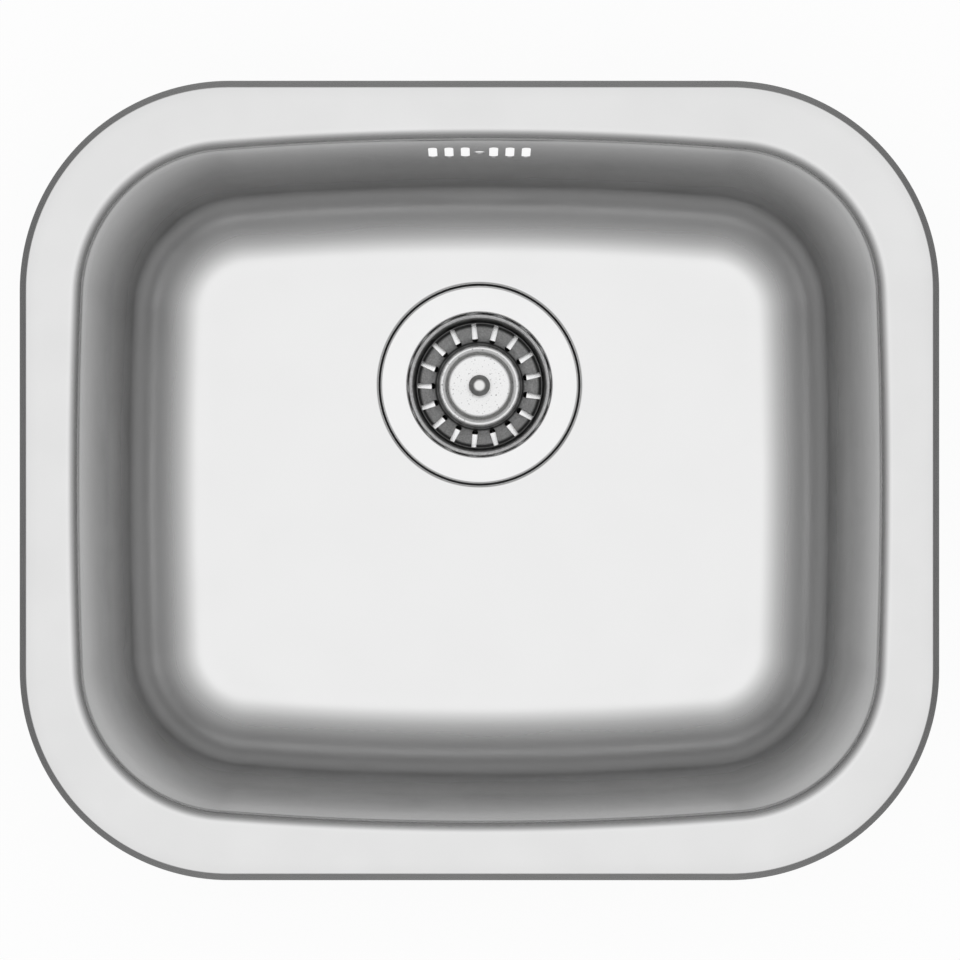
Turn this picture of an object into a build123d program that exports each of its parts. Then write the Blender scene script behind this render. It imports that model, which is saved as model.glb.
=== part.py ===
from build123d import *

import os
from math import atan2, cos, degrees, radians, sin, sqrt, tan

# Inset kitchen sink, in millimetres. +Z is up and +Y is towards the back of the worktop.
# The origin is the middle of the rim in plan, at the level of the worktop's top face.

# Pressed bowl: one sheet of stainless steel
sheet = 0.8
rim_length = 460.0
rim_width = 400.0
rim_corner_radius = 105.0
rim_height = 5.0
rim_band = 29.6
edge_lift = 0.5
bevel_width = 4.0
bevel_crest_radius = 0.9

bowl_corner_radius = 74.0
long_side_bow = 12.0
short_side_bow = 5.3
roll_radius = 6.5
wall_draft = 5.0
bowl_depth = 150.0
floor_radius = 40.0

# Overflow: upright slots in the back wall, with a screw hole in the middle
overflow_slot_width = 4.5
overflow_slot_height = 24.0
overflow_pitch = 8.3
overflow_side_count = 3
overflow_middle_gap = 14.5
overflow_hole_diameter = 6.4
overflow_drop = 32.5

# Foam strip under the rim
rim_seal_margin = 1.2
rim_seal_width = 4.5

# Damping pad under the floor
pad_length = 180.0
pad_thickness = 2.0
pad_corner_radius = 12.0
pad_margin = 20.0

# Waste: its place, the recess in the floor and the hole through it
waste_setback = 116.9
recess_clearance = 0.6
recess_edge_radius = 1.6
waste_hole_clearance = 3.8

# Drawn cup of the waste
cup_mouth_radius = 40.4
flange_width = 15.2
flange_sink = 0.4
flange_skirt = 1.9
flange_edge_radius = 1.5
flange_seal_thickness = 2.0
flange_seal_margin = 1.0
flange_seal_gap = 0.2
cup_taper = 1.8
cup_depth = 33.0
lip_radius = 0.95
cup_corner_radius = 3.0
seat_radius = 27.0
seat_height = 3.0
seat_bend_radius = 1.2
outlet_length = 10.0
outlet_corner_radius = 1.0
spoke_count = 4
spoke_width = 5.0
spoke_hub_radius = 8.5
window_margin = 2.4

# Body of the waste, below the bowl
body_gasket_thickness = 3.0
body_flange_reach = 8.8
body_flange_thickness = 3.5
body_wall = 2.6
cup_room = 1.4
body_taper = 1.6
body_depth = 42.0
funnel_height = 13.5
outlet_thread_radius = 23.9
outlet_thread_length = 32.0
outlet_wall = 3.9
outlet_collar = 2.6
outlet_collar_height = 4.0
gusset_count = 8
gusset_height = 14.0
gusset_reach = 7.6
gusset_thickness = 2.4
hub_radius = 9.0
hub_rib_height = 10.0
spigot_radius = 10.5
spigot_wall = 2.3
spigot_length = 25.0
spigot_drop = 30.0
spigot_collar = 2.0
spigot_collar_reach = 1.2

# Centre screw and its nut
waste_screw_radius = 3.0
waste_screw_length = 25.0
waste_screw_head_radius = 6.0
waste_screw_head_height = 5.0
waste_screw_hole_clearance = 0.3
waste_screw_chamfer = 0.6
waste_nut_width = 10.0
waste_nut_thickness = 5.0
waste_nut_rise = 2.5
waste_nut_clearance = 0.1

# Strainer basket
basket_sheet = 0.6
basket_bead_radius = 1.4
basket_rim_clearance = 0.6
basket_wall_setback = 2.8
basket_wall_height = 9.2
basket_wall_lean = 1.5
basket_wall_bend_radius = 0.6
basket_floor_radius = 23.1
basket_cone_height = 10.3
basket_floor_bend_radius = 1.5
slot_count = 17
slot_inner_width = 3.3
slot_outer_width = 2.6
slot_start_margin = 1.5
slot_end_margin = 1.2
slot_overrun = 0.6

# Dish in the middle of the basket
dish_margin = 0.6
dish_height = 6.6
dish_crown_width = 2.3
dish_crown_outer_bend = 1.1
dish_crown_inner_bend = 2.2
dish_wall_run = 3.4
dish_floor_bend = 5.0
dish_floor_drop = 2.6

# Knob, stem and plug
running_gap = 0.2
running_clearance = 0.08
seat_gap = 0.3
knob_radius = 6.05
knob_height = 11.1
knob_head_height = 4.2
knob_shoulder = 3.0
knob_crown_radius = 2.0
knob_neck_radius = 3.1
knob_foot_radius = 4.6
knob_foot_height = 1.4
stem_radius = 2.6
stem_top_radius = 2.0
stem_top_length = 8.5
stem_tip_radius = 2.0
stem_tip_engagement = 4.6
stem_tip_chamfer = 0.5
stem_shoulder = 1.0
plug_boss_radius = 11.0
plug_boss_height = 3.6
plug_stand = 3.1
plug_edge_inset = 0.7
plug_thickness = 5.5
plug_washer_radius = 10.0
plug_washer_thickness = 1.2
ring_radius = 4.6
ring_thickness = 0.9
ring_groove_depth = 0.5
ring_gap_width = 3.0

# Fixing clips
clip_clearance = 0.3
clip_spacing = 210.0
stirrup_sheet = 1.5
stirrup_width = 10.0
stirrup_span = 24.0
stirrup_foot = 9.0
stirrup_drop = 18.2
clip_nut_width = 8.0
clip_nut_height = 4.0
clip_web_clearance = 0.4
clip_screw_radius = 2.5
clip_screw_length = 40.0
clip_screw_tip_show = 2.2
clip_screw_head_width = 8.0
clip_screw_head_height = 3.6
clip_screw_slot_width = 1.2
clip_screw_slot_depth = 1.5
clip_screw_chamfer = 0.5
clip_washer_radius = 5.0
clip_washer_thickness = 1.0
claw_width = 12.0
claw_sheet = 1.5
claw_tail = 8.0
claw_setback = 1.5
claw_bridge_reach = 11.0
claw_side_height = 4.5
claw_tooth_height = 10.0
claw_tooth_width = 1.7

# Places and sizes that follow from the sizes above
bowl_length = rim_length - 2 * rim_band
bowl_width = rim_width - 2 * rim_band
underside_z = rim_height - sheet
floor_z = rim_height - bowl_depth
wall_run = bowl_depth * tan(radians(wall_draft)) + floor_radius * tan(radians(45 - wall_draft / 2))
rim_seal_inset = bevel_width + rim_seal_margin
clip_inset = rim_band - roll_radius - clip_clearance - stirrup_width / 2

# The waste's parts, as radii about its axis
waste_y = bowl_width / 2 - waste_setback
waste_axis = Axis((0, waste_y, 0), (0, 0, 1))
flange_radius = cup_mouth_radius + flange_width
recess_radius = flange_radius + recess_clearance
waste_hole_radius = cup_mouth_radius + sheet + waste_hole_clearance
outlet_radius = seat_radius - seat_height
body_bore_radius = cup_mouth_radius + sheet + cup_room
body_outer_radius = body_bore_radius + body_wall
body_flange_radius = body_outer_radius + body_flange_reach
outlet_bore_radius = outlet_thread_radius - outlet_wall
spigot_bore_radius = spigot_radius - spigot_wall
basket_bead_ring_radius = cup_mouth_radius - basket_rim_clearance - basket_bead_radius
basket_wall_radius = basket_bead_ring_radius - basket_wall_setback
slot_start_radius = basket_floor_radius + slot_start_margin
slot_end_radius = basket_wall_radius - slot_end_margin
dish_radius = basket_floor_radius - dish_margin
dish_crown_radius = dish_radius - dish_crown_width
dish_floor_radius = dish_crown_radius - dish_wall_run
plug_radius = seat_radius - plug_edge_inset

# The waste's parts, as heights over the bowl's floor
recess_depth = flange_sink + sheet + flange_seal_thickness
recess_underside = -recess_depth - sheet
flange_top = -flange_sink
flange_underside = flange_top - sheet
skirt_bottom = flange_top - flange_skirt
cup_floor = -cup_depth
outlet_top = cup_floor - seat_height
outlet_floor = outlet_top - outlet_length
body_top = recess_underside - body_gasket_thickness
funnel_top = body_top - body_depth
funnel_bottom = funnel_top - funnel_height
outlet_end = funnel_bottom - outlet_collar_height - outlet_thread_length
hub_top = outlet_floor - sheet
waste_screw_top = outlet_floor + waste_screw_head_height
waste_screw_end = outlet_floor - waste_screw_length
hub_bottom = funnel_bottom - hub_rib_height
waste_nut_bottom = hub_bottom + waste_nut_rise
plug_top = cup_floor + plug_stand
plug_bottom = plug_top - plug_thickness
plug_boss_top = plug_top + plug_boss_height
basket_underside = plug_boss_top + running_gap
basket_floor = basket_underside + basket_sheet
basket_wall_foot = basket_floor + basket_cone_height
basket_bead_centre = basket_wall_foot + basket_wall_height
dish_top = basket_floor + dish_height
dish_floor = dish_top - dish_floor_drop
knob_base = dish_floor + running_gap
ring_top = plug_bottom - plug_washer_thickness
stem_end = waste_screw_top - stem_tip_engagement


def waste_plane(angle=0.0):
    """Upright plane through the waste's axis. Local X is the radius, local Y the height over the floor."""
    turn = radians(angle)
    return Plane(
        origin=(0, waste_y, floor_z),
        x_dir=(cos(turn), sin(turn), 0),
        z_dir=(sin(turn), -cos(turn), 0),
    )


def waste_level(height):
    """Level plane on the waste's axis, at a height over the bowl's floor."""
    return Plane(origin=(0, waste_y, floor_z + height))


def bowed_rectangle(length, width, corner_radius, level):
    """Bowl outline: four bowed sides, each an arc, joined by round corners."""
    x = length / 2 - short_side_bow
    y = width / 2 - long_side_bow
    with BuildSketch(Plane.XY.offset(level)) as outline:
        with BuildLine():
            SagittaArc((x, -y), (x, y), -short_side_bow)
            SagittaArc((x, y), (-x, y), -long_side_bow)
            SagittaArc((-x, y), (-x, -y), -short_side_bow)
            SagittaArc((-x, -y), (x, -y), -long_side_bow)
        make_face()
        fillet(outline.vertices(), corner_radius)
    return outline.sketch


def bowl_form(wall, bottom_radius):
    """Solid form of the bowl, grown by the thickness of its wall, with its bottom edge rounded."""
    grown = wall / cos(radians(wall_draft))
    mouth = bowed_rectangle(
        bowl_length + 2 * grown, bowl_width + 2 * grown, bowl_corner_radius + grown, rim_height
    )
    with BuildPart() as form:
        extrude(mouth, amount=-(bowl_depth + wall), taper=wall_draft)
        fillet(form.faces().sort_by(Axis.Z)[0].edges(), bottom_radius)
    return form.part


def rim_outline(inset, level):
    """Outline of the rim, drawn in by an inset, at a level."""
    with BuildSketch(Plane.XY.offset(level)) as outline:
        RectangleRounded(
            rim_length - 2 * inset, rim_width - 2 * inset, rim_corner_radius - inset
        )
    return outline.sketch


def turned_sheet(points, radii, thickness):
    """Thin shape turned about the waste's axis, from the line of its upper side, outer edge first."""
    with BuildPart() as shape:
        with BuildSketch(waste_plane()):
            with BuildLine():
                FilletPolyline(*points, radius=radii)
                offset(amount=thickness, side=Side.LEFT, closed=True)
            make_face()
        revolve(axis=waste_axis)
    return shape.part


def turned_solid(*points):
    """Solid shape turned about the waste's axis, from the corners of half its section."""
    with BuildPart() as shape:
        with BuildSketch(waste_plane()):
            with BuildLine():
                Polyline(*points, close=True)
            make_face()
        revolve(axis=waste_axis)
    return shape.part


def ring(outer_radius, inner_radius, top, bottom):
    """Flat ring about the waste's axis, between two heights over the floor."""
    return turned_solid(
        (inner_radius, bottom), (outer_radius, bottom), (outer_radius, top), (inner_radius, top)
    )


# Sink bowl: rim with bevelled edge, and the bowl pressed into it
bevel_height = rim_height - edge_lift
bevel_taper = degrees(atan2(bevel_width, bevel_height))
bevel_wall = sheet / cos(radians(bevel_taper))
bowl_outside = bowl_form(sheet, floor_radius + sheet)
bowl_inside = bowl_form(0, floor_radius)

with BuildPart() as sink_bowl:
    extrude(rim_outline(0, edge_lift), amount=bevel_height, taper=bevel_taper)
    extrude(
        rim_outline(bevel_wall, edge_lift),
        amount=bevel_height - sheet,
        taper=bevel_taper,
        mode=Mode.SUBTRACT,
    )
    rim_crest = sink_bowl.faces().sort_by(Axis.Z)[-1].outer_wire().edges()
    fillet(rim_crest, bevel_crest_radius)
    add(bowl_outside)
    rim_underside = sink_bowl.faces().filter_by(Plane.XY).filter_by(
        lambda face: abs(face.center().Z - underside_z) < sheet / 2
    )[0]
    fillet(rim_underside.inner_wires()[0].edges(), roll_radius - sheet)

    # The floor is pressed down round the waste, and the waste hole is punched through it
    with BuildSketch(waste_level(recess_underside)):
        Circle(recess_radius + sheet)
    extrude(amount=recess_depth)
    add(bowl_inside, mode=Mode.SUBTRACT)
    rim_top = sink_bowl.faces().sort_by(Axis.Z)[-1]
    fillet(rim_top.inner_wires()[0].edges(), roll_radius)
    with BuildSketch(waste_level(-recess_depth)):
        Circle(recess_radius)
    extrude(amount=recess_depth, mode=Mode.SUBTRACT)
    with BuildSketch(waste_level(recess_underside)):
        Circle(waste_hole_radius)
    extrude(amount=sheet, mode=Mode.SUBTRACT)
    recess_edge = sink_bowl.edges().filter_by(
        lambda edge: edge.geom_type == GeomType.CIRCLE
        and abs(edge.radius - recess_radius) < sheet / 2
        and abs(edge.center().Z - floor_z) < sheet / 2
    )
    fillet(recess_edge, recess_edge_radius)

    # Overflow slots and the hole for the overflow's screw, punched through the back wall
    overflow_z = rim_height - overflow_drop
    slot_places = [
        side * (overflow_middle_gap / 2 + overflow_pitch * place)
        for side in (-1, 1)
        for place in range(overflow_side_count)
    ]
    with BuildSketch(Plane.XZ):
        with Locations(*[(x, overflow_z) for x in slot_places]):
            SlotOverall(overflow_slot_height, overflow_slot_width, rotation=90)
        with Locations((0, overflow_z)):
            Circle(overflow_hole_diameter / 2)
    extrude(amount=-rim_width / 2, mode=Mode.SUBTRACT)
sink_bowl.part.label = "sink_bowl"

# Foam strip under the rim, pressed onto the worktop
with BuildPart() as rim_seal:
    extrude(rim_outline(rim_seal_inset, 0), amount=underside_z)
    extrude(
        rim_outline(rim_seal_inset + rim_seal_width, 0), amount=underside_z, mode=Mode.SUBTRACT
    )
rim_seal.part.label = "rim_seal"

# Damping pad glued under the floor, in front of the waste
pad_front = wall_run - bowl_width / 2 + pad_margin
pad_back = waste_y - recess_radius - pad_margin
with BuildPart() as sound_pad:
    with BuildSketch(Plane((0, (pad_front + pad_back) / 2, floor_z - sheet))):
        RectangleRounded(pad_length, pad_back - pad_front, pad_corner_radius)
    extrude(amount=-pad_thickness)
sound_pad.part.label = "sound_pad"

# Waste cup: flange, cup, plug seat and outlet drawn from one disc, with a cross left in the outlet
with BuildPart() as waste_cup:
    add(
        turned_sheet(
            [
                (flange_radius, skirt_bottom),
                (flange_radius, flange_top),
                (cup_mouth_radius, flange_top),
                (cup_mouth_radius - cup_taper, cup_floor),
                (seat_radius, cup_floor),
                (outlet_radius, outlet_top),
                (outlet_radius, outlet_floor),
                (waste_screw_radius + waste_screw_hole_clearance, outlet_floor),
            ],
            [
                flange_edge_radius,
                lip_radius,
                cup_corner_radius,
                seat_bend_radius,
                seat_bend_radius,
                outlet_corner_radius,
            ],
            sheet,
        )
    )
    with BuildSketch(waste_level(outlet_floor)) as outlet_windows:
        Circle(outlet_radius - window_margin)
        Circle(spoke_hub_radius, mode=Mode.SUBTRACT)
        with PolarLocations(0, spoke_count // 2, angular_range=180):
            Rectangle(2 * outlet_radius, spoke_width, mode=Mode.SUBTRACT)
    extrude(amount=-sheet, mode=Mode.SUBTRACT)
waste_cup.part.label = "waste_cup"

# Rubber ring between the flange and the recess, with a thin foot that runs out under the skirt
seal_radius = flange_radius - sheet - flange_seal_margin
flange_seal = turned_solid(
    (waste_hole_radius + flange_seal_margin, -recess_depth),
    (recess_radius - flange_seal_gap, -recess_depth),
    (recess_radius - flange_seal_gap, skirt_bottom - flange_seal_gap),
    (seal_radius, skirt_bottom - flange_seal_gap),
    (seal_radius, flange_underside),
    (waste_hole_radius + flange_seal_margin, flange_underside),
)
flange_seal.label = "flange_seal"

# Thick rubber ring between the underside of the recess and the body
body_gasket = ring(body_flange_radius, waste_hole_radius, recess_underside, body_top)
body_gasket.label = "body_gasket"

# Waste body: moulded funnel with clamping flange, gussets, screw hub, overflow spigot and outlet
thread_top = outlet_end + outlet_thread_length
with BuildPart() as waste_body:
    with BuildSketch(waste_plane()) as body_section:
        with BuildLine():
            Polyline(
                (body_bore_radius, body_top),
                (body_flange_radius, body_top),
                (body_flange_radius, body_top - body_flange_thickness),
                (body_outer_radius, body_top - body_flange_thickness),
                (body_outer_radius - body_taper, funnel_top),
                (outlet_thread_radius + outlet_collar, funnel_bottom),
                (outlet_thread_radius + outlet_collar, thread_top),
                (outlet_thread_radius, thread_top),
                (outlet_thread_radius, outlet_end),
                (outlet_bore_radius, outlet_end),
                (outlet_bore_radius, funnel_bottom),
                (body_bore_radius - body_taper, funnel_top),
                close=True,
            )
        make_face()
    revolve(axis=waste_axis)

    # Hub for the centre screw, on a cross of ribs in the mouth of the outlet
    with BuildSketch(waste_level(hub_bottom)):
        Circle(hub_radius)
    extrude(amount=hub_top - hub_bottom)
    with BuildSketch(waste_level(funnel_bottom)):
        with PolarLocations(0, spoke_count // 2, angular_range=180):
            Rectangle(outlet_bore_radius + outlet_thread_radius, gusset_thickness)
    extrude(amount=-hub_rib_height)
    with BuildSketch(waste_level(hub_bottom)):
        Circle(waste_screw_radius + waste_screw_hole_clearance)
    extrude(amount=hub_top - hub_bottom, mode=Mode.SUBTRACT)
    with BuildSketch(waste_level(hub_bottom)):
        RegularPolygon(waste_nut_width / 2 + waste_nut_clearance, 6, major_radius=False)
    extrude(amount=waste_nut_rise + waste_nut_thickness, mode=Mode.SUBTRACT)

    # Gussets that stiffen the clamping flange, placed so that the spigot leaves between two
    for turn in range(gusset_count):
        gusset_angle = 360 / gusset_count * (turn + 0.5)
        flange_bottom = body_top - body_flange_thickness
        with BuildSketch(waste_plane(gusset_angle)):
            with BuildLine():
                Polyline(
                    (body_outer_radius - body_wall / 2, flange_bottom),
                    (body_outer_radius + gusset_reach, flange_bottom),
                    (body_outer_radius - body_wall / 2, flange_bottom - gusset_height),
                    close=True,
                )
            make_face()
        extrude(amount=gusset_thickness / 2, both=True)

    # Spigot at the back for an overflow hose, on a short collar and open into the body
    collar_start = body_bore_radius - body_taper / 2 + body_wall / 2
    collar_end = body_outer_radius + spigot_collar_reach
    collar_plane = Plane(
        origin=(0, waste_y + collar_start, floor_z - spigot_drop), z_dir=(0, 1, 0)
    )
    with BuildSketch(collar_plane):
        Circle(spigot_radius + spigot_collar)
    extrude(amount=collar_end - collar_start)
    with BuildSketch(collar_plane.offset(collar_end - collar_start)):
        Circle(spigot_radius)
    extrude(amount=spigot_length)
    with BuildSketch(collar_plane.offset(-2 * body_wall)):
        Circle(spigot_bore_radius)
    extrude(
        amount=collar_end - collar_start + spigot_length + 2 * body_wall, mode=Mode.SUBTRACT
    )
waste_body.part.label = "waste_body"

# Centre screw: clamps the cup to the body, and its hollow head holds the tip of the stem
with BuildPart() as waste_screw:
    add(
        turned_solid(
            (0, waste_screw_end),
            (waste_screw_radius - waste_screw_chamfer, waste_screw_end),
            (waste_screw_radius, waste_screw_end + waste_screw_chamfer),
            (waste_screw_radius, outlet_floor),
            (waste_screw_head_radius, outlet_floor),
            (waste_screw_head_radius, waste_screw_top - waste_screw_chamfer),
            (waste_screw_head_radius - waste_screw_chamfer, waste_screw_top),
            (0, waste_screw_top),
        )
    )
    with BuildSketch(waste_level(stem_end - running_gap)):
        Circle(stem_tip_radius + running_clearance)
    extrude(amount=waste_screw_top - stem_end + running_gap, mode=Mode.SUBTRACT)
waste_screw.part.label = "waste_screw"

# Brass nut in the hub's pocket
with BuildPart() as waste_nut:
    with BuildSketch(waste_level(waste_nut_bottom)):
        RegularPolygon(waste_nut_width / 2, 6, major_radius=False)
        Circle(waste_screw_radius, mode=Mode.SUBTRACT)
    extrude(amount=waste_nut_thickness)
waste_nut.part.label = "waste_nut"

# One strainer slot: round at its inner end and tapered outwards, about the waste's axis
with BuildSketch() as strainer_slot:
    slot_round = slot_start_radius + slot_inner_width / 2
    with BuildLine():
        Polyline(
            (slot_round, -slot_inner_width / 2),
            (slot_end_radius, -slot_outer_width / 2),
            (slot_end_radius, slot_outer_width / 2),
            (slot_round, slot_inner_width / 2),
        )
        ThreePointArc(
            (slot_round, slot_inner_width / 2),
            (slot_start_radius, 0),
            (slot_round, -slot_inner_width / 2),
        )
    make_face()

# Strainer basket: rolled bead, steep wall, slotted cone and flat floor
basket_wall_top = basket_wall_radius + basket_wall_lean
with BuildPart() as basket_shell:
    add(
        turned_sheet(
            [
                (basket_wall_top, basket_bead_centre),
                (basket_wall_radius, basket_wall_foot),
                (basket_floor_radius, basket_floor),
                (stem_radius + running_clearance, basket_floor),
            ],
            [basket_wall_bend_radius, basket_floor_bend_radius],
            basket_sheet,
        )
    )
    with BuildSketch(waste_plane()):
        with Locations((basket_bead_ring_radius, basket_bead_centre)):
            Circle(basket_bead_radius)
    revolve(axis=waste_axis)
    with BuildSketch(waste_level(basket_underside)):
        with PolarLocations(0, slot_count, start_angle=180):
            add(strainer_slot.sketch)
    extrude(amount=basket_wall_foot + slot_overrun - basket_underside, mode=Mode.SUBTRACT)
basket_shell.part.label = "basket_shell"

# Dish pressed into the middle of the basket, with a rolled crown
basket_dish = turned_sheet(
    [
        (dish_radius, basket_floor),
        (dish_radius, dish_top),
        (dish_crown_radius, dish_top),
        (dish_floor_radius, dish_floor),
        (stem_radius + running_clearance, dish_floor),
    ],
    [dish_crown_outer_bend, dish_crown_inner_bend, dish_floor_bend],
    basket_sheet,
)
basket_dish.label = "basket_dish"

# Knob: turned, with a bevelled crown, a waist and a foot, and a blind hole for the stem
knob_top = knob_base + knob_height
with BuildPart() as basket_knob:
    add(
        turned_solid(
            (0, knob_base),
            (knob_foot_radius, knob_base),
            (knob_foot_radius, knob_base + knob_foot_height),
            (knob_neck_radius, knob_base + 2 * knob_foot_height),
            (knob_neck_radius, knob_top - knob_head_height),
            (knob_radius, knob_top - knob_head_height),
            (knob_radius, knob_top - knob_shoulder),
            (knob_radius - knob_shoulder, knob_top),
            (0, knob_top),
        )
    )
    fillet(basket_knob.edges().sort_by(Axis.Z)[-1], knob_crown_radius)
    with BuildSketch(waste_level(knob_base)):
        Circle(stem_top_radius)
    extrude(amount=stem_top_length, mode=Mode.SUBTRACT)
basket_knob.part.label = "basket_knob"

# Stem: turned pin that joins knob and plug, with a groove for the ring and a thin tip
plug_stem = turned_solid(
    (0, stem_end),
    (stem_tip_radius - stem_tip_chamfer, stem_end),
    (stem_tip_radius, stem_end + stem_tip_chamfer),
    (stem_tip_radius, ring_top - ring_thickness - 2 * stem_shoulder),
    (stem_radius, ring_top - ring_thickness - stem_shoulder),
    (stem_radius, ring_top - ring_thickness),
    (stem_radius - ring_groove_depth, ring_top - ring_thickness),
    (stem_radius - ring_groove_depth, ring_top),
    (stem_radius, ring_top),
    (stem_radius, knob_base),
    (stem_top_radius, knob_base),
    (stem_top_radius, knob_base + stem_top_length),
    (0, knob_base + stem_top_length),
)
plug_stem.label = "plug_stem"

# Rubber plug: boss against the basket, and a disc whose edge fits the conical seat of the cup
plug_slope = seat_gap * sqrt(2)
plug_cone_top = cup_floor + plug_radius - seat_radius + plug_slope
plug_seal = turned_solid(
    (stem_radius, plug_bottom),
    (plug_radius - plug_cone_top + plug_bottom, plug_bottom),
    (plug_radius, plug_cone_top),
    (plug_radius, plug_top),
    (plug_boss_radius, plug_top),
    (plug_boss_radius, plug_boss_top),
    (stem_radius, plug_boss_top),
)
plug_seal.label = "plug_seal"

# Washer under the plug
plug_washer = ring(plug_washer_radius, stem_radius, plug_bottom, ring_top)
plug_washer.label = "plug_washer"

# Open spring ring in the stem's groove
with BuildPart() as stem_ring:
    with BuildSketch(waste_level(ring_top - ring_thickness)):
        Circle(ring_radius)
        Circle(stem_radius - ring_groove_depth, mode=Mode.SUBTRACT)
        with Locations((ring_radius, 0)):
            Rectangle(2 * ring_radius, ring_gap_width, mode=Mode.SUBTRACT)
    extrude(amount=ring_thickness)
stem_ring.part.label = "stem_ring"

# Fixing clips: each stands on its own plane, with local X outwards and the screw on local Z
clip_x = rim_length / 2 - clip_inset
clip_y = rim_width / 2 - clip_inset
clip_places = [
    (clip_spacing / 2, clip_y, 90),
    (-clip_spacing / 2, clip_y, 90),
    (-clip_x, 0, 180),
    (-clip_spacing / 2, -clip_y, 270),
    (clip_spacing / 2, -clip_y, 270),
    (clip_x, 0, 0),
]
clip_planes = [
    Plane(origin=(x, y, 0), x_dir=(cos(radians(turn)), sin(radians(turn)), 0), z_dir=(0, 0, 1))
    for x, y, turn in clip_places
]
web_top = underside_z - stirrup_drop + stirrup_sheet
web_bottom = web_top - stirrup_sheet
clip_nut_bottom = web_bottom - clip_nut_height
clip_screw_top = web_top + clip_screw_tip_show
clip_head_top = clip_screw_top - clip_screw_length
claw_bottom = clip_head_top + clip_washer_thickness
claw_reach = clip_inset - claw_setback

# Welded stirrups: bent strap with two feet on the rim's underside and a level web with a hole
with BuildPart() as clip_brackets:
    for plane in clip_planes:
        side_view = Plane(origin=plane.origin, x_dir=plane.y_dir, z_dir=plane.x_dir)
        half_span = stirrup_span / 2
        with BuildSketch(side_view):
            with Locations((0, underside_z - stirrup_drop / 2)):
                Rectangle(stirrup_span, stirrup_drop)
            with Locations((0, underside_z - (stirrup_drop - stirrup_sheet) / 2)):
                Rectangle(
                    stirrup_span - 2 * stirrup_sheet,
                    stirrup_drop - stirrup_sheet,
                    mode=Mode.SUBTRACT,
                )
            with Locations(
                (half_span + stirrup_foot / 2, underside_z - stirrup_sheet / 2),
                (-half_span - stirrup_foot / 2, underside_z - stirrup_sheet / 2),
            ):
                Rectangle(stirrup_foot, stirrup_sheet)
        extrude(amount=stirrup_width / 2, both=True)
        with BuildSketch(plane.offset(web_bottom)):
            Circle(clip_screw_radius + clip_web_clearance)
        extrude(amount=stirrup_sheet, mode=Mode.SUBTRACT)
clip_brackets.part.label = "clip_brackets"

# Square weld nuts under the stirrups' webs
with BuildPart() as clip_nuts:
    for plane in clip_planes:
        with BuildSketch(plane.offset(clip_nut_bottom)):
            Rectangle(clip_nut_width, clip_nut_width)
            Circle(clip_screw_radius + running_clearance, mode=Mode.SUBTRACT)
        extrude(amount=clip_nut_height)
clip_nuts.part.label = "clip_nuts"


def make_clip_screw(plane):
    """Clamping screw, head down, with a hexagon head that also has a driver slot."""
    with BuildPart() as screw:
        with BuildSketch(plane.offset(clip_head_top)):
            Circle(clip_screw_radius)
        extrude(amount=clip_screw_length)
        chamfer(screw.faces().sort_by(Axis.Z)[-1].edges(), clip_screw_chamfer)
        with BuildSketch(plane.offset(clip_head_top)):
            RegularPolygon(clip_screw_head_width / 2, 6, major_radius=False)
        extrude(amount=-clip_screw_head_height)
        with BuildSketch(plane.offset(clip_head_top - clip_screw_head_height)):
            Rectangle(2 * clip_screw_head_width, clip_screw_slot_width)
        extrude(amount=clip_screw_slot_depth, mode=Mode.SUBTRACT)
    return screw.part


def make_clip_washer(plane):
    """Thrust washer between the screw's head and the claw."""
    with BuildPart() as washer:
        with BuildSketch(plane.offset(clip_head_top)):
            Circle(clip_washer_radius)
            Circle(clip_screw_radius + running_clearance, mode=Mode.SUBTRACT)
        extrude(amount=clip_washer_thickness)
    return washer.part


def make_clip_claw(plane):
    """Pressed claw: a channel with a flat bridge on the screw and two toothed sides that reach out."""
    side_view = Plane(origin=plane.origin, x_dir=plane.x_dir, z_dir=-plane.y_dir)
    claw_top = claw_bottom + claw_tooth_height
    with BuildPart() as claw:
        with BuildSketch(side_view):
            with BuildLine():
                Polyline(
                    (-claw_tail, claw_bottom),
                    (claw_bridge_reach, claw_bottom),
                    (claw_reach, claw_top - claw_tooth_width),
                    (claw_reach, claw_top),
                    (claw_reach - claw_tooth_width, claw_top - claw_tooth_width),
                    (claw_reach - claw_tooth_width, claw_top),
                    (claw_reach - 2 * claw_tooth_width, claw_top - claw_tooth_width),
                    (claw_reach - 2 * claw_tooth_width, claw_top),
                    (claw_bridge_reach - claw_side_height, claw_bottom + claw_side_height),
                    (-claw_tail, claw_bottom + claw_side_height),
                    close=True,
                )
            make_face()
        extrude(amount=claw_width / 2, both=True)
        with BuildSketch(plane.offset(claw_bottom + claw_sheet)):
            Rectangle(4 * claw_reach, claw_width - 2 * claw_sheet)
        extrude(amount=claw_tooth_height, mode=Mode.SUBTRACT)
        with BuildSketch(plane.offset(claw_bottom)):
            Circle(clip_screw_radius + running_clearance)
        extrude(amount=claw_sheet, mode=Mode.SUBTRACT)
    return claw.part


os.makedirs("parts", exist_ok=True)
for name, maker in (
    ("clip_screw", make_clip_screw),
    ("clip_washer", make_clip_washer),
    ("clip_claw", make_clip_claw),
):
    for number, plane in enumerate(clip_planes, start=1):
        piece = maker(plane)
        piece.label = f"{name}_{number}"
        export_step(piece, f"parts/{piece.label}.step")

for piece in (
    sink_bowl.part,
    rim_seal.part,
    sound_pad.part,
    waste_cup.part,
    flange_seal,
    body_gasket,
    waste_body.part,
    waste_screw.part,
    waste_nut.part,
    basket_shell.part,
    basket_dish,
    basket_knob.part,
    plug_stem,
    plug_seal,
    plug_washer,
    stem_ring.part,
    clip_brackets.part,
    clip_nuts.part,
):
    export_step(piece, f"parts/{piece.label}.step")
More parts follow.
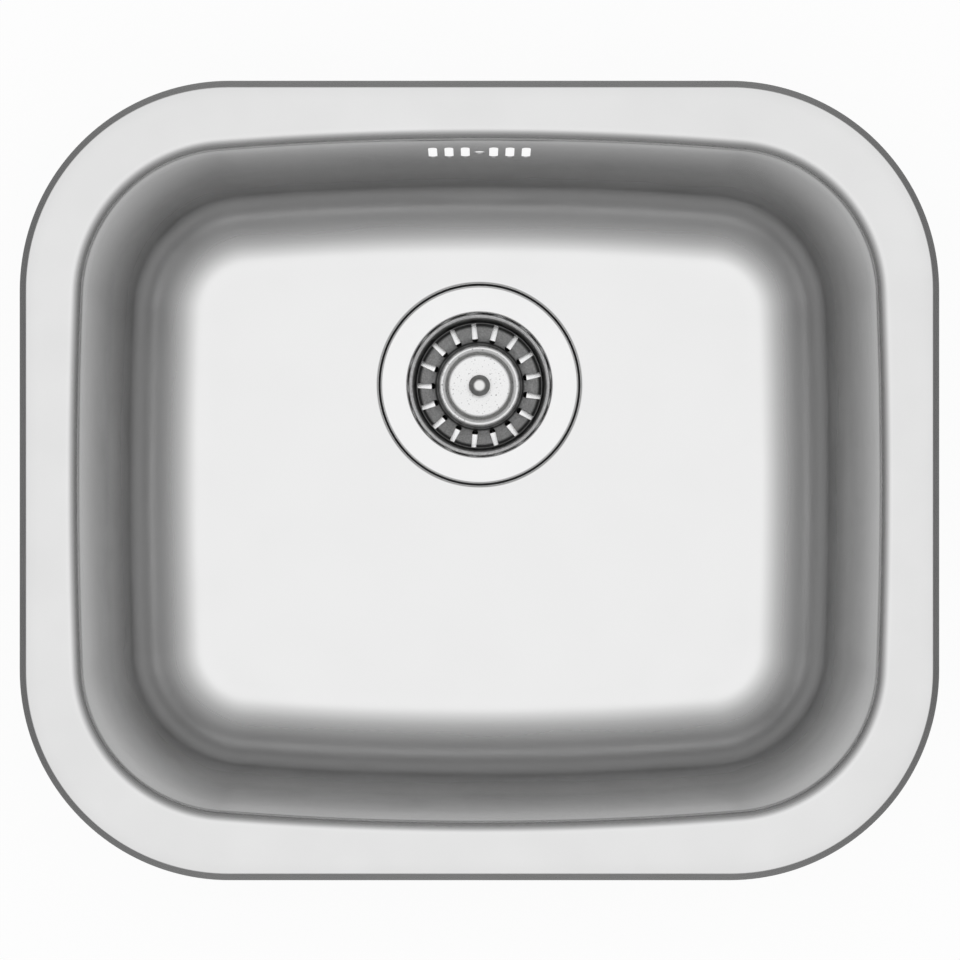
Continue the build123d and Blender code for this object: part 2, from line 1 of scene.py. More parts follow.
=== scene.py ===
from math import asin, atan2, ceil, cos, degrees, hypot, pi, radians, sin, sqrt, tan

import bmesh
import bpy
from mathutils import Matrix, Vector


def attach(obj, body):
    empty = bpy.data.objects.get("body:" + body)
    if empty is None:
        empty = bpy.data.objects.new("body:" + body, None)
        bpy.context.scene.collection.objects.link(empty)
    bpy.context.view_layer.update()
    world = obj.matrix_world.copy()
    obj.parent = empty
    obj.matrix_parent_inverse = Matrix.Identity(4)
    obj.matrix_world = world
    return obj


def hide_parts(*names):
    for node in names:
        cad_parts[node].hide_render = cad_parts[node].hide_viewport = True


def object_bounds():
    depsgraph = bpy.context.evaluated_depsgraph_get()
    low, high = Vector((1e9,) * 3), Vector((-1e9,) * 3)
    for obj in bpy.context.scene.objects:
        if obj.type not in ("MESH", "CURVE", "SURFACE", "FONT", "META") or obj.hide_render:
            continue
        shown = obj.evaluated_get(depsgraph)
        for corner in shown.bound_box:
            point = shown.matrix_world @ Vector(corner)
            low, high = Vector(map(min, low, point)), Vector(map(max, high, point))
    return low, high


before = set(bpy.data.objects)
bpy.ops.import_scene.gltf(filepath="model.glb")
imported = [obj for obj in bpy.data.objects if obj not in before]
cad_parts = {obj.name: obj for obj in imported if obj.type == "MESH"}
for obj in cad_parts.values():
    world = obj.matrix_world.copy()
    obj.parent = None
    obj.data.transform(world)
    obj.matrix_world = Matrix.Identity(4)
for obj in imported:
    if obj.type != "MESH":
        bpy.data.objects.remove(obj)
cad_low, cad_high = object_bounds()
mm = 0.001

# Studio: a straight-down view, a pale floor with a painted pool of light that falls off into a
# grey surround, and a wide soft light overhead that fades towards the horizon.
camera_data = bpy.data.cameras.new("photo_camera")
camera_data.sensor_width = 36.0
camera_data.lens = 94.1
camera_data.shift_x = 0.54 / 960
camera_data.shift_y = 0.48 / 960
camera = bpy.data.objects.new("photo_camera", camera_data)
camera.location = (0.0, 0.0, 1.255)
bpy.context.scene.collection.objects.link(camera)
bpy.context.scene.camera = camera
bpy.context.scene.view_settings.view_transform = "Standard"


def node(tree, kind, **values):
    """Adds a shader node and sets its properties and inputs by name."""
    made = tree.nodes.new(kind)
    for key, value in values.items():
        if hasattr(made, key):
            setattr(made, key, value)
        else:
            made.inputs[key.replace("_", " ")].default_value = value
    return made


def math(tree, operation, first, second):
    """Adds a step of arithmetic on two values, each a number or the output of a node."""
    made = node(tree, "ShaderNodeMath", operation=operation)
    for socket, value in zip(made.inputs, (first, second)):
        if isinstance(value, float):
            socket.default_value = value
        else:
            tree.links.new(value, socket)
    return made.outputs[0]


def ramp(tree, stops, source):
    """Grey level that follows pairs of position and level."""
    made = tree.nodes.new("ShaderNodeValToRGB")
    elements = made.color_ramp.elements
    elements.remove(elements[-1])
    elements[0].position = stops[0][0]
    elements[0].color = (stops[0][1],) * 3 + (1.0,)
    for place, level in stops[1:]:
        elements.new(place).color = (level,) * 3 + (1.0,)
    tree.links.new(source, made.inputs["Fac"])
    return made.outputs["Color"]


def endways(tree, parts):
    """How far a direction in plan leans towards the front or back, from 0 to 1."""
    x = math(tree, "MULTIPLY", parts.outputs["X"], parts.outputs["X"])
    y = math(tree, "MULTIPLY", parts.outputs["Y"], parts.outputs["Y"])
    return math(tree, "DIVIDE", y, math(tree, "ADD", x, y))


def mixed(tree, share, low, high):
    """Value between two others by a share."""
    made = node(tree, "ShaderNodeMapRange")
    tree.links.new(share, made.inputs["Value"])
    for name, value in (("To Min", low), ("To Max", high)):
        if isinstance(value, float):
            made.inputs[name].default_value = value
        else:
            tree.links.new(value, made.inputs[name])
    return made.outputs["Result"]


sky_sides = [
    (0.0, 0.165),
    (0.30, 0.22),
    (0.41, 0.29),
    (0.50, 0.36),
    (0.61, 0.44),
    (0.77, 0.57),
    (0.91, 0.86),
    (0.97, 1.085),
    (1.0, 1.08),
]
sky_ends = [
    (0.0, 0.235),
    (0.30, 0.25),
    (0.41, 0.28),
    (0.50, 0.33),
    (0.61, 0.40),
    (0.77, 0.52),
    (0.91, 0.82),
    (0.97, 1.085),
    (1.0, 1.08),
]
world = bpy.data.worlds.new("studio_surround")
world.use_nodes = True
bpy.context.scene.world = world
sky = world.node_tree
direction = sky.nodes.new("ShaderNodeTexCoord")
sky_parts = sky.nodes.new("ShaderNodeSeparateXYZ")
sky.links.new(direction.outputs["Generated"], sky_parts.inputs["Vector"])
sky_level = mixed(
    sky,
    endways(sky, sky_parts),
    ramp(sky, sky_sides, sky_parts.outputs["Z"]),
    ramp(sky, sky_ends, sky_parts.outputs["Z"]),
)
sky.links.new(sky_level, sky.nodes["Background"].inputs["Color"])

softbox_data = bpy.data.lights.new("overhead_softbox", "AREA")
softbox_data.shape = "SQUARE"
softbox_data.size = 1.2
softbox_data.energy = 12.0
softbox = bpy.data.objects.new("overhead_softbox", softbox_data)
softbox.location = (0.0, 0.0, 1.6)
softbox.visible_glossy = False
bpy.context.scene.collection.objects.link(softbox)

floor_drop = 0.0003
# Painted pool of light: the floor's colour is white near the sink and falls to grey further out.
floor_light_pool_sides = [(0.0, 1.0), (0.50, 1.0), (0.62, 0.58), (0.78, 0.15)]
floor_light_pool_ends = [(0.0, 1.0), (0.50, 1.0), (0.62, 0.62), (0.78, 0.22)]
floor_glow = 0.9
bpy.ops.mesh.primitive_circle_add(
    vertices=128, radius=12.0, fill_type="NGON", location=(0, 0, cad_low.z - floor_drop)
)
floor = bpy.context.object
floor.name = "studio_floor"
floor_paint = bpy.data.materials.new("pale_floor")
floor_paint.use_nodes = True
tree = floor_paint.node_tree
tree.nodes.clear()
place = tree.nodes.new("ShaderNodeTexCoord")
floor_parts = tree.nodes.new("ShaderNodeSeparateXYZ")
tree.links.new(place.outputs["Object"], floor_parts.inputs["Vector"])
distance = node(tree, "ShaderNodeVectorMath", operation="LENGTH")
tree.links.new(place.outputs["Object"], distance.inputs[0])
floor_light_pool = mixed(
    tree,
    endways(tree, floor_parts),
    ramp(tree, floor_light_pool_sides, distance.outputs["Value"]),
    ramp(tree, floor_light_pool_ends, distance.outputs["Value"]),
)
floor_matt = node(tree, "ShaderNodeBsdfDiffuse")
floor_white = node(tree, "ShaderNodeEmission")
tree.links.new(floor_light_pool, floor_matt.inputs["Color"])
tree.links.new(floor_light_pool, floor_white.inputs["Color"])
light_path = tree.nodes.new("ShaderNodeLightPath")
seen = math(
    tree, "MAXIMUM", light_path.outputs["Is Camera Ray"], light_path.outputs["Is Glossy Ray"]
)
seen = math(tree, "MAXIMUM", seen, light_path.outputs["Is Transmission Ray"])
blend_floor = tree.nodes.new("ShaderNodeMixShader")
tree.links.new(math(tree, "MULTIPLY", seen, floor_glow), blend_floor.inputs["Fac"])
tree.links.new(floor_matt.outputs[0], blend_floor.inputs[1])
tree.links.new(floor_white.outputs[0], blend_floor.inputs[2])
floor_out = tree.nodes.new("ShaderNodeOutputMaterial")
tree.links.new(blend_floor.outputs[0], floor_out.inputs["Surface"])
floor.data.materials.append(floor_paint)

# Sink bowl: one pressed sheet of satin stainless steel, with a bevelled rim, a bowed bowl,
# a round recess in its floor for the waste, and overflow slots punched through the back wall.
sheet = 0.8
rim_length = 460.0
rim_width = 400.0
rim_corner_radius = 105.0
rim_height = 5.0
rim_band = 29.6
edge_lift = 0.5
bevel_width = 4.0
bevel_crest_radius = 0.9
bowl_corner_radius = 74.0
long_side_bow = 12.0
short_side_bow = 5.3
roll_radius = 6.5
draft = radians(5.0)
bowl_depth = 150.0
floor_radius = 40.0
floor_z = rim_height - bowl_depth
bowl_length = rim_length - 2 * rim_band
bowl_width = rim_width - 2 * rim_band
waste_y = bowl_width / 2 - 116.9
recess_radius = 56.2
recess_depth = 3.2
recess_edge_radius = 1.6
waste_hole_radius = 45.0
edge_round = 0.15
corner_steps = 44
long_steps = 40
short_steps = 30
crease = 35.0


def rounded_line(corners, radii, step=6.0):
    """Points and left-hand normals along a line whose corners are rounded, every few degrees."""
    points = []
    normals = []
    last = len(corners) - 1
    for index, (x, y) in enumerate(corners):
        if index < last:
            ahead = Vector(corners[index + 1]) - Vector((x, y))
            ahead.normalize()
        if index > 0:
            behind = Vector((x, y)) - Vector(corners[index - 1])
            behind.normalize()
        if index == 0 or index == last:
            way = ahead if index == 0 else behind
            points.append(Vector((x, y)))
            normals.append(Vector((-way.y, way.x)))
            continue
        radius = radii[index - 1]
        bend = atan2(behind.x * ahead.y - behind.y * ahead.x, behind.dot(ahead))
        if abs(bend) < 1e-6:
            continue
        side = 1.0 if bend > 0 else -1.0
        start = Vector((x, y)) - behind * (radius * tan(abs(bend) / 2))
        centre = start + Vector((-behind.y, behind.x)) * side * radius
        count = max(2, int(abs(degrees(bend)) / step) + 1)
        for turn in range(count + 1):
            angle = bend * turn / count
            way = Vector(
                (
                    behind.x * cos(angle) - behind.y * sin(angle),
                    behind.x * sin(angle) + behind.y * cos(angle),
                )
            )
            left = Vector((-way.y, way.x))
            points.append(centre - left * side * radius)
            normals.append(left)
    return points, normals


def quarter_turns(quarter):
    """A loop of points and outward normals from those of its first quarter, by symmetry."""
    loop = []
    for flip_x, flip_y, back in ((1, 1, 0), (-1, 1, 1), (-1, -1, 0), (1, -1, 1)):
        run = quarter[::-1] if back else quarter
        for x, y, nx, ny in run[:-1]:
            loop.append((x * flip_x, y * flip_y, nx * flip_x, ny * flip_y))
    return loop


def bowl_quarter():
    """First quarter of the bowl's mouth: half a short side, a corner and half a long side."""
    half_x = bowl_length / 2
    half_y = bowl_width / 2
    chord_x = half_x - short_side_bow
    chord_y = half_y - long_side_bow
    long_arc = (chord_x**2 + long_side_bow**2) / (2 * long_side_bow)
    short_arc = (chord_y**2 + short_side_bow**2) / (2 * short_side_bow)
    long_centre = half_y - long_arc
    short_centre = half_x - short_arc
    corner_x = corner_y = 0.0
    for _ in range(60):
        corner_y = sqrt((long_arc - bowl_corner_radius) ** 2 - corner_x**2) + long_centre
        corner_x = sqrt((short_arc - bowl_corner_radius) ** 2 - corner_y**2) + short_centre
    short_end = atan2(corner_y, corner_x - short_centre)
    long_start = atan2(corner_y - long_centre, corner_x)
    quarter = []
    for first, final, steps, x, y, radius in (
        (0.0, short_end, short_steps, short_centre, 0.0, short_arc),
        (short_end, long_start, corner_steps, corner_x, corner_y, bowl_corner_radius),
        (long_start, pi / 2, long_steps, 0.0, long_centre, long_arc),
    ):
        for step in range(steps):
            angle = first + (final - first) * step / steps
            nx = cos(angle)
            ny = sin(angle)
            quarter.append((x + radius * nx, y + radius * ny, nx, ny))
    quarter.append((0.0, half_y, 0.0, 1.0))
    return quarter


def rim_quarter():
    """First quarter of the rim's outline, with as many points as the bowl's."""
    straight_x = rim_length / 2 - rim_corner_radius
    straight_y = rim_width / 2 - rim_corner_radius
    quarter = []
    for step in range(short_steps):
        quarter.append((rim_length / 2, straight_y * step / short_steps, 1.0, 0.0))
    for step in range(corner_steps):
        angle = pi / 2 * step / corner_steps
        x = straight_x + rim_corner_radius * cos(angle)
        y = straight_y + rim_corner_radius * sin(angle)
        quarter.append((x, y, cos(angle), sin(angle)))
    for step in range(long_steps + 1):
        quarter.append((straight_x * (1 - step / long_steps), rim_width / 2, 0.0, 1.0))
    return quarter


def inset_row(loop, inset, height):
    """One row of points: a loop drawn in by an inset, at a height."""
    return [(x - nx * inset, y - ny * inset, height) for x, y, nx, ny in loop]


def piece_from(name, points, faces):
    """Piece from points in millimetres, smooth but for its creases."""
    mesh = bpy.data.meshes.new(name)
    mesh.from_pydata([(x * mm, y * mm, z * mm) for x, y, z in points], [], faces)
    shape = bmesh.new()
    shape.from_mesh(mesh)
    bmesh.ops.remove_doubles(shape, verts=shape.verts, dist=1e-7)
    bmesh.ops.dissolve_degenerate(shape, edges=shape.edges, dist=1e-8)
    loose = [vertex for vertex in shape.verts if not vertex.link_faces]
    bmesh.ops.delete(shape, geom=loose, context="VERTS")
    bmesh.ops.recalc_face_normals(shape, faces=shape.faces)
    shape.to_mesh(mesh)
    shape.free()
    mesh.shade_smooth()
    mesh.set_sharp_from_angle(angle=radians(crease))
    made = bpy.data.objects.new(name, mesh)
    bpy.context.scene.collection.objects.link(made)
    return made


def rows_to_faces(rows, columns, closed=True):
    """Quads between rows of points that each go once round."""
    faces = []
    for row in range(rows if closed else rows - 1):
        below = (row + 1) % rows
        for column in range(columns):
            following = (column + 1) % columns
            faces.append(
                (
                    row * columns + column,
                    row * columns + following,
                    below * columns + following,
                    below * columns + column,
                )
            )
    return faces


def worked(piece, sharp=crease):
    """Applies a piece's modifiers to its mesh."""
    shapes = bpy.context.evaluated_depsgraph_get()
    result = bpy.data.meshes.new_from_object(piece.evaluated_get(shapes))
    piece.modifiers.clear()
    piece.data = result
    result.name = piece.name
    result.shade_smooth()
    result.set_sharp_from_angle(angle=radians(sharp))


def combine(piece, tool, operation="DIFFERENCE", sharp=crease):
    """Cuts a tool's shape out of a piece or joins it on, and removes the tool."""
    cut = piece.modifiers.new("cut", "BOOLEAN")
    cut.operation = operation
    cut.solver = "EXACT"
    cut.object = tool
    worked(piece, sharp)
    bpy.data.objects.remove(tool)


def prism(outline, low, high):
    """Points and faces of an upright prism that stands on an outline."""
    count = len(outline)
    solid = [(x, y, low) for x, y in outline] + [(x, y, high) for x, y in outline]
    faces = [tuple(range(count))[::-1], tuple(range(count, 2 * count))]
    for index in range(count):
        following = (index + 1) % count
        faces.append((index, following, count + following, count + index))
    return solid, faces


def gather(shapes):
    """Points and faces of several shapes, as one."""
    points = []
    faces = []
    for shape_points, shape_faces in shapes:
        start = len(points)
        points += shape_points
        faces += [tuple(start + index for index in face) for face in shape_faces]
    return points, faces


bowl_loop = quarter_turns(bowl_quarter())
rim_loop = quarter_turns(rim_quarter())
floor_inset = 50.0
floor_line = inset_row(bowl_loop, floor_inset, 0.0)
recess_angles = [atan2(y - waste_y, x) for x, y, _ in floor_line]


def recess_row(radius, height):
    """One row of points round the waste, in step with the bowl's rows."""
    return [
        (radius * cos(angle), waste_y + radius * sin(angle), floor_z + height)
        for angle in recess_angles
    ]


wall_foot = bowl_depth * tan(draft)
grown = sheet / cos(draft)
rim_start = 7.0
bevel_slope = bevel_width / (rim_height - edge_lift)
bevel_wall = sheet * hypot(1.0, bevel_slope)
line, _ = rounded_line(
    [
        (waste_hole_radius, -recess_depth),
        (recess_radius, -recess_depth),
        (recess_radius, 0.0),
        (recess_radius + 3.0, 0.0),
    ],
    [0.5, recess_edge_radius],
    8.0,
)
rows = [recess_row(p.x, p.y) for p in line]
line, _ = rounded_line(
    [
        (floor_inset, floor_z),
        (wall_foot, floor_z),
        (0.0, rim_height),
        (-rim_start, rim_height),
    ],
    [floor_radius, roll_radius],
    3.0,
)
wall_rows = 5
for behind, p in zip(line[:1] + line, line):
    if p.y - behind.y > 20.0:
        for share_up in range(1, wall_rows):
            q = behind.lerp(p, share_up / wall_rows)
            rows.append(inset_row(bowl_loop, q.x, q.y))
    rows.append(inset_row(bowl_loop, p.x, p.y))
line, _ = rounded_line(
    [
        (10.0, rim_height),
        (bevel_width, rim_height),
        (0.0, edge_lift),
        (bevel_wall, edge_lift),
        (bevel_wall + (rim_height - edge_lift - sheet) * bevel_slope, rim_height - sheet),
        (14.0, rim_height - sheet),
    ],
    [bevel_crest_radius, edge_round, edge_round, edge_round],
    10.0,
)
rows += [inset_row(rim_loop, p.x, p.y) for p in line]
line, _ = rounded_line(
    [
        (-rim_start, rim_height - sheet),
        (-grown + sheet * tan(draft), rim_height - sheet),
        (-grown + (bowl_depth + sheet) * tan(draft), floor_z - sheet),
        (floor_inset, floor_z - sheet),
    ],
    [roll_radius - sheet, floor_radius + sheet],
    6.0,
)
rows += [inset_row(bowl_loop, p.x, p.y) for p in line]
line, _ = rounded_line(
    [
        (recess_radius + 4.0, -sheet),
        (recess_radius + sheet, -sheet),
        (recess_radius + sheet, -recess_depth - sheet),
        (waste_hole_radius, -recess_depth - sheet),
    ],
    [0.5, 0.5],
    15.0,
)
rows += [recess_row(p.x, p.y) for p in line]
points = [p for row in rows for p in row]
sink = piece_from("pressed_bowl", points, rows_to_faces(len(rows), len(bowl_loop)))

overflow_slot_width = 4.5
overflow_slot_height = 24.0
overflow_z = -27.5
overflow_places = (-23.85, -15.55, -7.25, 7.25, 15.55, 23.85)
overflow_hole_radius = 3.2
arc_steps = 16
punch_front = 155.0
punch_back = 185.0
slot_end = overflow_slot_height / 2 - overflow_slot_width / 2
punches = []
for place_x in overflow_places:
    outline = []
    for end, first in ((1, 0.0), (-1, pi)):
        for step in range(arc_steps + 1):
            angle = first + pi * step / arc_steps
            x = place_x + overflow_slot_width / 2 * cos(angle)
            z = overflow_z + end * slot_end + overflow_slot_width / 2 * sin(angle)
            outline.append((x, z))
    punches.append(prism(outline, punch_front, punch_back))
hole = []
for step in range(2 * arc_steps):
    angle = pi * step / arc_steps
    hole.append(
        (overflow_hole_radius * cos(angle), overflow_z + overflow_hole_radius * sin(angle))
    )
punches.append(prism(hole, punch_front, punch_back))
points, faces = gather(punches)
combine(sink, piece_from("punch", [(x, z, y) for x, y, z in points], faces))


def bumpy(tree, shader, source, scale, strength, distance=0.0002):
    """Fine relief on a surface from noise."""
    grain = node(tree, "ShaderNodeTexNoise", Scale=scale, Detail=3.0)
    tree.links.new(source, grain.inputs["Vector"])
    relief = node(tree, "ShaderNodeBump", Strength=strength, Distance=distance)
    tree.links.new(grain.outputs["Fac"], relief.inputs["Height"])
    tree.links.new(relief.outputs["Normal"], shader.inputs["Normal"])


def cloudy(tree, source, scale, low, high):
    """Value that drifts between two levels over a surface."""
    cloud = node(tree, "ShaderNodeTexNoise", Scale=scale, Detail=4.0)
    tree.links.new(source, cloud.inputs["Vector"])
    made = node(tree, "ShaderNodeMapRange", From_Min=0.3, From_Max=0.7, To_Min=low, To_Max=high)
    tree.links.new(cloud.outputs["Fac"], made.inputs["Value"])
    return made.outputs["Result"]


def turned_grain(tree, source, centre):
    """Coordinates in which fine noise runs in circles round the waste's axis."""
    from_centre = node(tree, "ShaderNodeVectorMath", operation="SUBTRACT")
    from_centre.inputs[1].default_value = centre
    tree.links.new(source, from_centre.inputs[0])
    parts = tree.nodes.new("ShaderNodeSeparateXYZ")
    tree.links.new(from_centre.outputs[0], parts.inputs[0])
    flat = tree.nodes.new("ShaderNodeCombineXYZ")
    tree.links.new(parts.outputs["X"], flat.inputs["X"])
    tree.links.new(parts.outputs["Y"], flat.inputs["Y"])
    reach = node(tree, "ShaderNodeVectorMath", operation="LENGTH")
    tree.links.new(flat.outputs[0], reach.inputs[0])
    turn = math(tree, "ARCTAN2", parts.outputs["Y"], parts.outputs["X"])
    made = tree.nodes.new("ShaderNodeCombineXYZ")
    tree.links.new(reach.outputs["Value"], made.inputs["X"])
    tree.links.new(math(tree, "MULTIPLY", turn, 0.002), made.inputs["Y"])
    tree.links.new(parts.outputs["Z"], made.inputs["Z"])
    return made.outputs[0]


def steel(name, level, roughness, grain, centre=None, edge=0.6, specks=0.0):
    """Stainless steel: fine rolled or turned grain, an uneven gloss and, if asked, marks."""
    made = bpy.data.materials.new(name)
    made.use_nodes = True
    tree = made.node_tree
    shader = tree.nodes["Principled BSDF"]
    shader.inputs["Metallic"].default_value = 1.0
    shader.inputs["Specular Tint"].default_value = (edge, edge, edge, 1.0)
    where = tree.nodes.new("ShaderNodeTexCoord").outputs["Object"]
    if centre is None:
        stretched = node(tree, "ShaderNodeVectorMath", operation="MULTIPLY")
        stretched.inputs[1].default_value = (0.05, 1.0, 1.0)
        tree.links.new(where, stretched.inputs[0])
        along = stretched.outputs[0]
    else:
        along = turned_grain(tree, where, centre)
    bumpy(tree, shader, along, 2600.0, grain)
    gloss = cloudy(tree, where, 26.0, roughness * 0.88, roughness * 1.12)
    if specks:
        spots = node(tree, "ShaderNodeTexNoise", Scale=900.0, Detail=1.0)
        tree.links.new(where, spots.inputs["Vector"])
        mark = node(tree, "ShaderNodeMapRange", From_Min=0.66, From_Max=0.74)
        tree.links.new(spots.outputs["Fac"], mark.inputs["Value"])
        shade = mixed(tree, mark.outputs["Result"], level, level * (1.0 - specks))
        tree.links.new(shade, shader.inputs["Base Color"])
    else:
        shader.inputs["Base Color"].default_value = (level, level, level * 0.99, 1.0)
    return made, tree, shader, where, gloss


def finish_piece(piece, material, body, slot_name, *nodes):
    """Gives a piece its finish and its body, and hides the CAD parts that it stands for."""
    piece.data.materials.clear()
    piece.data.materials.append(material)
    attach(piece, body)
    if nodes:
        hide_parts(*nodes)


def ranged(tree, source, from_min, from_max, to_min=0.0, to_max=1.0):
    """Value mapped from one range to another and held at its ends."""
    made = node(
        tree,
        "ShaderNodeMapRange",
        From_Min=from_min,
        From_Max=from_max,
        To_Min=to_min,
        To_Max=to_max,
    )
    tree.links.new(source, made.inputs["Value"])
    return made.outputs["Result"]


floor_tone = 0.79
extra_satin = 0.12
bowl_steel, tree, shader, where, gloss = steel("bowl_steel", floor_tone, 0.18, 0.05, None, 0.7)
spot = tree.nodes.new("ShaderNodeSeparateXYZ")
tree.links.new(where, spot.inputs["Vector"])
height = spot.outputs["Z"]
# More satin on the rim and through the fillet. Heights are in metres above the worktop.
on_rim = ranged(tree, height, -0.001, 0.0048, 0.0, extra_satin)
on_fillet = math(
    tree,
    "MULTIPLY",
    ranged(tree, height, -0.1445, -0.138, 0.0, extra_satin),
    ranged(tree, height, -0.10, -0.06, 1.0, 0.0),
)
rough = math(tree, "ADD", gloss, math(tree, "ADD", on_rim, on_fillet))
tree.links.new(rough, shader.inputs["Roughness"])
# Heights of the walls that get painted shade and light.
painted_wall_zone = math(
    tree,
    "MULTIPLY",
    ranged(tree, height, -0.125, -0.095),
    ranged(tree, height, -0.002, -0.012),
)
# Painted shade and light on the walls: darker towards the back, and a painted lighter band
# half-way down that fades towards the back.
wall_shade_to_back = ranged(tree, spot.outputs["Y"], -0.17, 0.17, 0.84, 0.66)
midway_band = math(
    tree,
    "MULTIPLY",
    ranged(tree, height, -0.036, -0.066),
    ranged(tree, height, -0.096, -0.066),
)
midway_painted_light = ranged(tree, spot.outputs["Y"], 0.0, 0.17, 0.97, 0.69)
painted_wall_tone = mixed(tree, midway_band, wall_shade_to_back, midway_painted_light)
tree.links.new(mixed(tree, painted_wall_zone, floor_tone, painted_wall_tone), shader.inputs["Base Color"])
finish_piece(sink, bowl_steel, "sink", "bowl_steel", "sink_bowl")

# Foam strip: a square-cut closed-cell strip stuck under the rim, inside its bevelled edge,
# which seals the rim to the worktop.


def closed_section(corners, rounding, step=15.0):
    """Closed section with all its corners eased alike, from its corners in order."""
    start = tuple((a + b) / 2 for a, b in zip(corners[-1], corners[0]))
    line, _ = rounded_line([start, *corners, start], [rounding] * len(corners), step)
    return line[:-1]


def soft_material(name, level, roughness, pits, strength=0.35):
    """Rubber, foam or damping sheet: matt, with a pitted skin and a faint bloom."""
    made = bpy.data.materials.new(name)
    made.use_nodes = True
    tree = made.node_tree
    shader = tree.nodes["Principled BSDF"]
    where = tree.nodes.new("ShaderNodeTexCoord").outputs["Object"]
    bumpy(tree, shader, where, pits, strength, 0.0003)
    bloom = node(tree, "ShaderNodeTexNoise", Scale=90.0, Detail=3.0)
    tree.links.new(where, bloom.inputs["Vector"])
    tint = ramp(tree, [(0.3, level * 0.8), (0.7, level * 1.25)], bloom.outputs["Fac"])
    tree.links.new(tint, shader.inputs["Base Color"])
    shader.inputs["Roughness"].default_value = roughness
    return made


strip_outer = 5.2
strip_inner = 9.7
strip_top = rim_height - sheet
section = closed_section(
    [(strip_outer, 0.0), (strip_inner, 0.0), (strip_inner, strip_top), (strip_outer, strip_top)],
    0.4,
)
points = [p for q in section for p in inset_row(rim_loop, q.x, q.y)]
strip = piece_from("foam_strip", points, rows_to_faces(len(section), len(rim_loop)))
foam = soft_material("grey_foam", 0.2, 0.85, 1500.0, 0.7)
finish_piece(strip, foam, "sink", "grey_foam", "rim_seal")

# Sound pad: a die-cut sheet of bitumen damping with an embossed skin,
# glued flat under the floor in front of the waste.
pad_length = 180.0
pad_front = -100.62
pad_back = -22.7
pad_top = floor_z - sheet
pad_thickness = 2.0
pad_corner_radius = 12.0


def plate_outline(half, front, back, corner_radius):
    """Loop of points and outward normals round a rectangular plate with round corners."""
    corners = [
        (0.0, front),
        (half, front),
        (half, back),
        (-half, back),
        (-half, front),
        (0.0, front),
    ]
    line, lefts = rounded_line(corners, [corner_radius] * 4, 10.0)
    return [(p.x, p.y, -n.x, -n.y) for p, n in zip(line[:-1], lefts[:-1])]


def slab(loop, low, high, ease=0.2):
    """Points and faces of a flat plate on an outline, with eased edges."""
    count = len(loop)
    plate = []
    for inset, height in ((ease, low), (0.0, low + ease), (0.0, high - ease), (ease, high)):
        plate += inset_row(loop, inset, height)
    faces = rows_to_faces(4, count, False)
    faces.append(tuple(range(count))[::-1])
    faces.append(tuple(range(3 * count, 4 * count)))
    return plate, faces


pad_loop = plate_outline(pad_length / 2, pad_front, pad_back, pad_corner_radius)
pad = piece_from("damping_pad", *slab(pad_loop, pad_top - pad_thickness, pad_top, 0.4))
damping = soft_material("damping_pad", 0.045, 0.75, 420.0, 1.0)
finish_piece(pad, damping, "sink", "damping_pad", "sound_pad")

# Clip stirrups: bent steel straps, spot-welded by their two feet under the rim,
# each with a square nut welded under the hole in its web.
clip_places = [
    (105.0, 182.2, 90.0),
    (-105.0, 182.2, 90.0),
    (-212.2, 0.0, 180.0),
    (-105.0, -182.2, 270.0),
    (105.0, -182.2, 270.0),
    (212.2, 0.0, 0.0),
]
rim_underside = rim_height - sheet
strap = 1.5
strap_foot = 21.0
strap_leg = 10.5
strap_hole = 2.9
strap_half_width = 5.0
web_top = -12.5
web_bottom = web_top - strap
clip_screw_radius = 2.5


def sheet_section(corners, radii, thickness, step=6.0):
    """Closed section of a bent sheet, from a line along one side of it."""
    line, normals = rounded_line(corners, radii, step)
    return line + [p + n * thickness for p, n in zip(line[::-1], normals[::-1])]


def lathe(section, steps=192, closed=True):
    """Points and faces of a section of radii and heights, turned about an upright axis."""
    points = []
    for p in section:
        for step in range(steps):
            angle = 2 * pi * step / steps
            points.append((p[0] * cos(angle), p[0] * sin(angle), p[1]))
    return points, rows_to_faces(len(section), steps, closed)


def placed(points, x, y, z=0.0, turn=0.0):
    """Points turned about the upright axis and then moved to a place."""
    c = cos(radians(turn))
    s = sin(radians(turn))
    return [(x + c * p[0] - s * p[1], y + s * p[0] + c * p[1], z + p[2]) for p in points]


def bored(piece, radius, low, high, countersink):
    """Drills a piece on the upright axis, with a chamfer at both of its faces."""
    line = [
        (0.0, low - 1.0),
        (radius + countersink + 1.0, low - 1.0),
        (radius, low + countersink),
        (radius, high - countersink),
        (radius + countersink + 1.0, high + 1.0),
        (0.0, high + 1.0),
    ]
    combine(piece, piece_from("drill", *lathe(line, 48, False)))


def eased(piece, width, sharp=crease):
    """Rounds the sharp edges of a piece."""
    soften = piece.modifiers.new("edges", "BEVEL")
    soften.width = width * mm
    soften.segments = 2
    soften.limit_method = "ANGLE"
    soften.angle_limit = radians(sharp)
    worked(piece, sharp)


def spread(piece, name):
    """Pieces like one made at the origin, one at each clip."""
    made = []
    for number, (x, y, turn) in enumerate(clip_places, start=1):
        mesh = piece.data.copy()
        turned_there = Matrix.Rotation(radians(turn), 4, "Z")
        mesh.transform(Matrix.Translation((x * mm, y * mm, 0.0)) @ turned_there)
        label = f"{name}_{number}"
        mesh.name = label
        placed_piece = bpy.data.objects.new(label, mesh)
        bpy.context.scene.collection.objects.link(placed_piece)
        made.append(placed_piece)
    bpy.data.objects.remove(piece)
    return made


def welded(pieces, name):
    """One piece from several that share a mesh node."""
    merged = bmesh.new()
    for piece in pieces:
        merged.from_mesh(piece.data)
        bpy.data.objects.remove(piece)
    mesh = bpy.data.meshes.new(name)
    merged.to_mesh(mesh)
    merged.free()
    made = bpy.data.objects.new(name, mesh)
    bpy.context.scene.collection.objects.link(made)
    return made


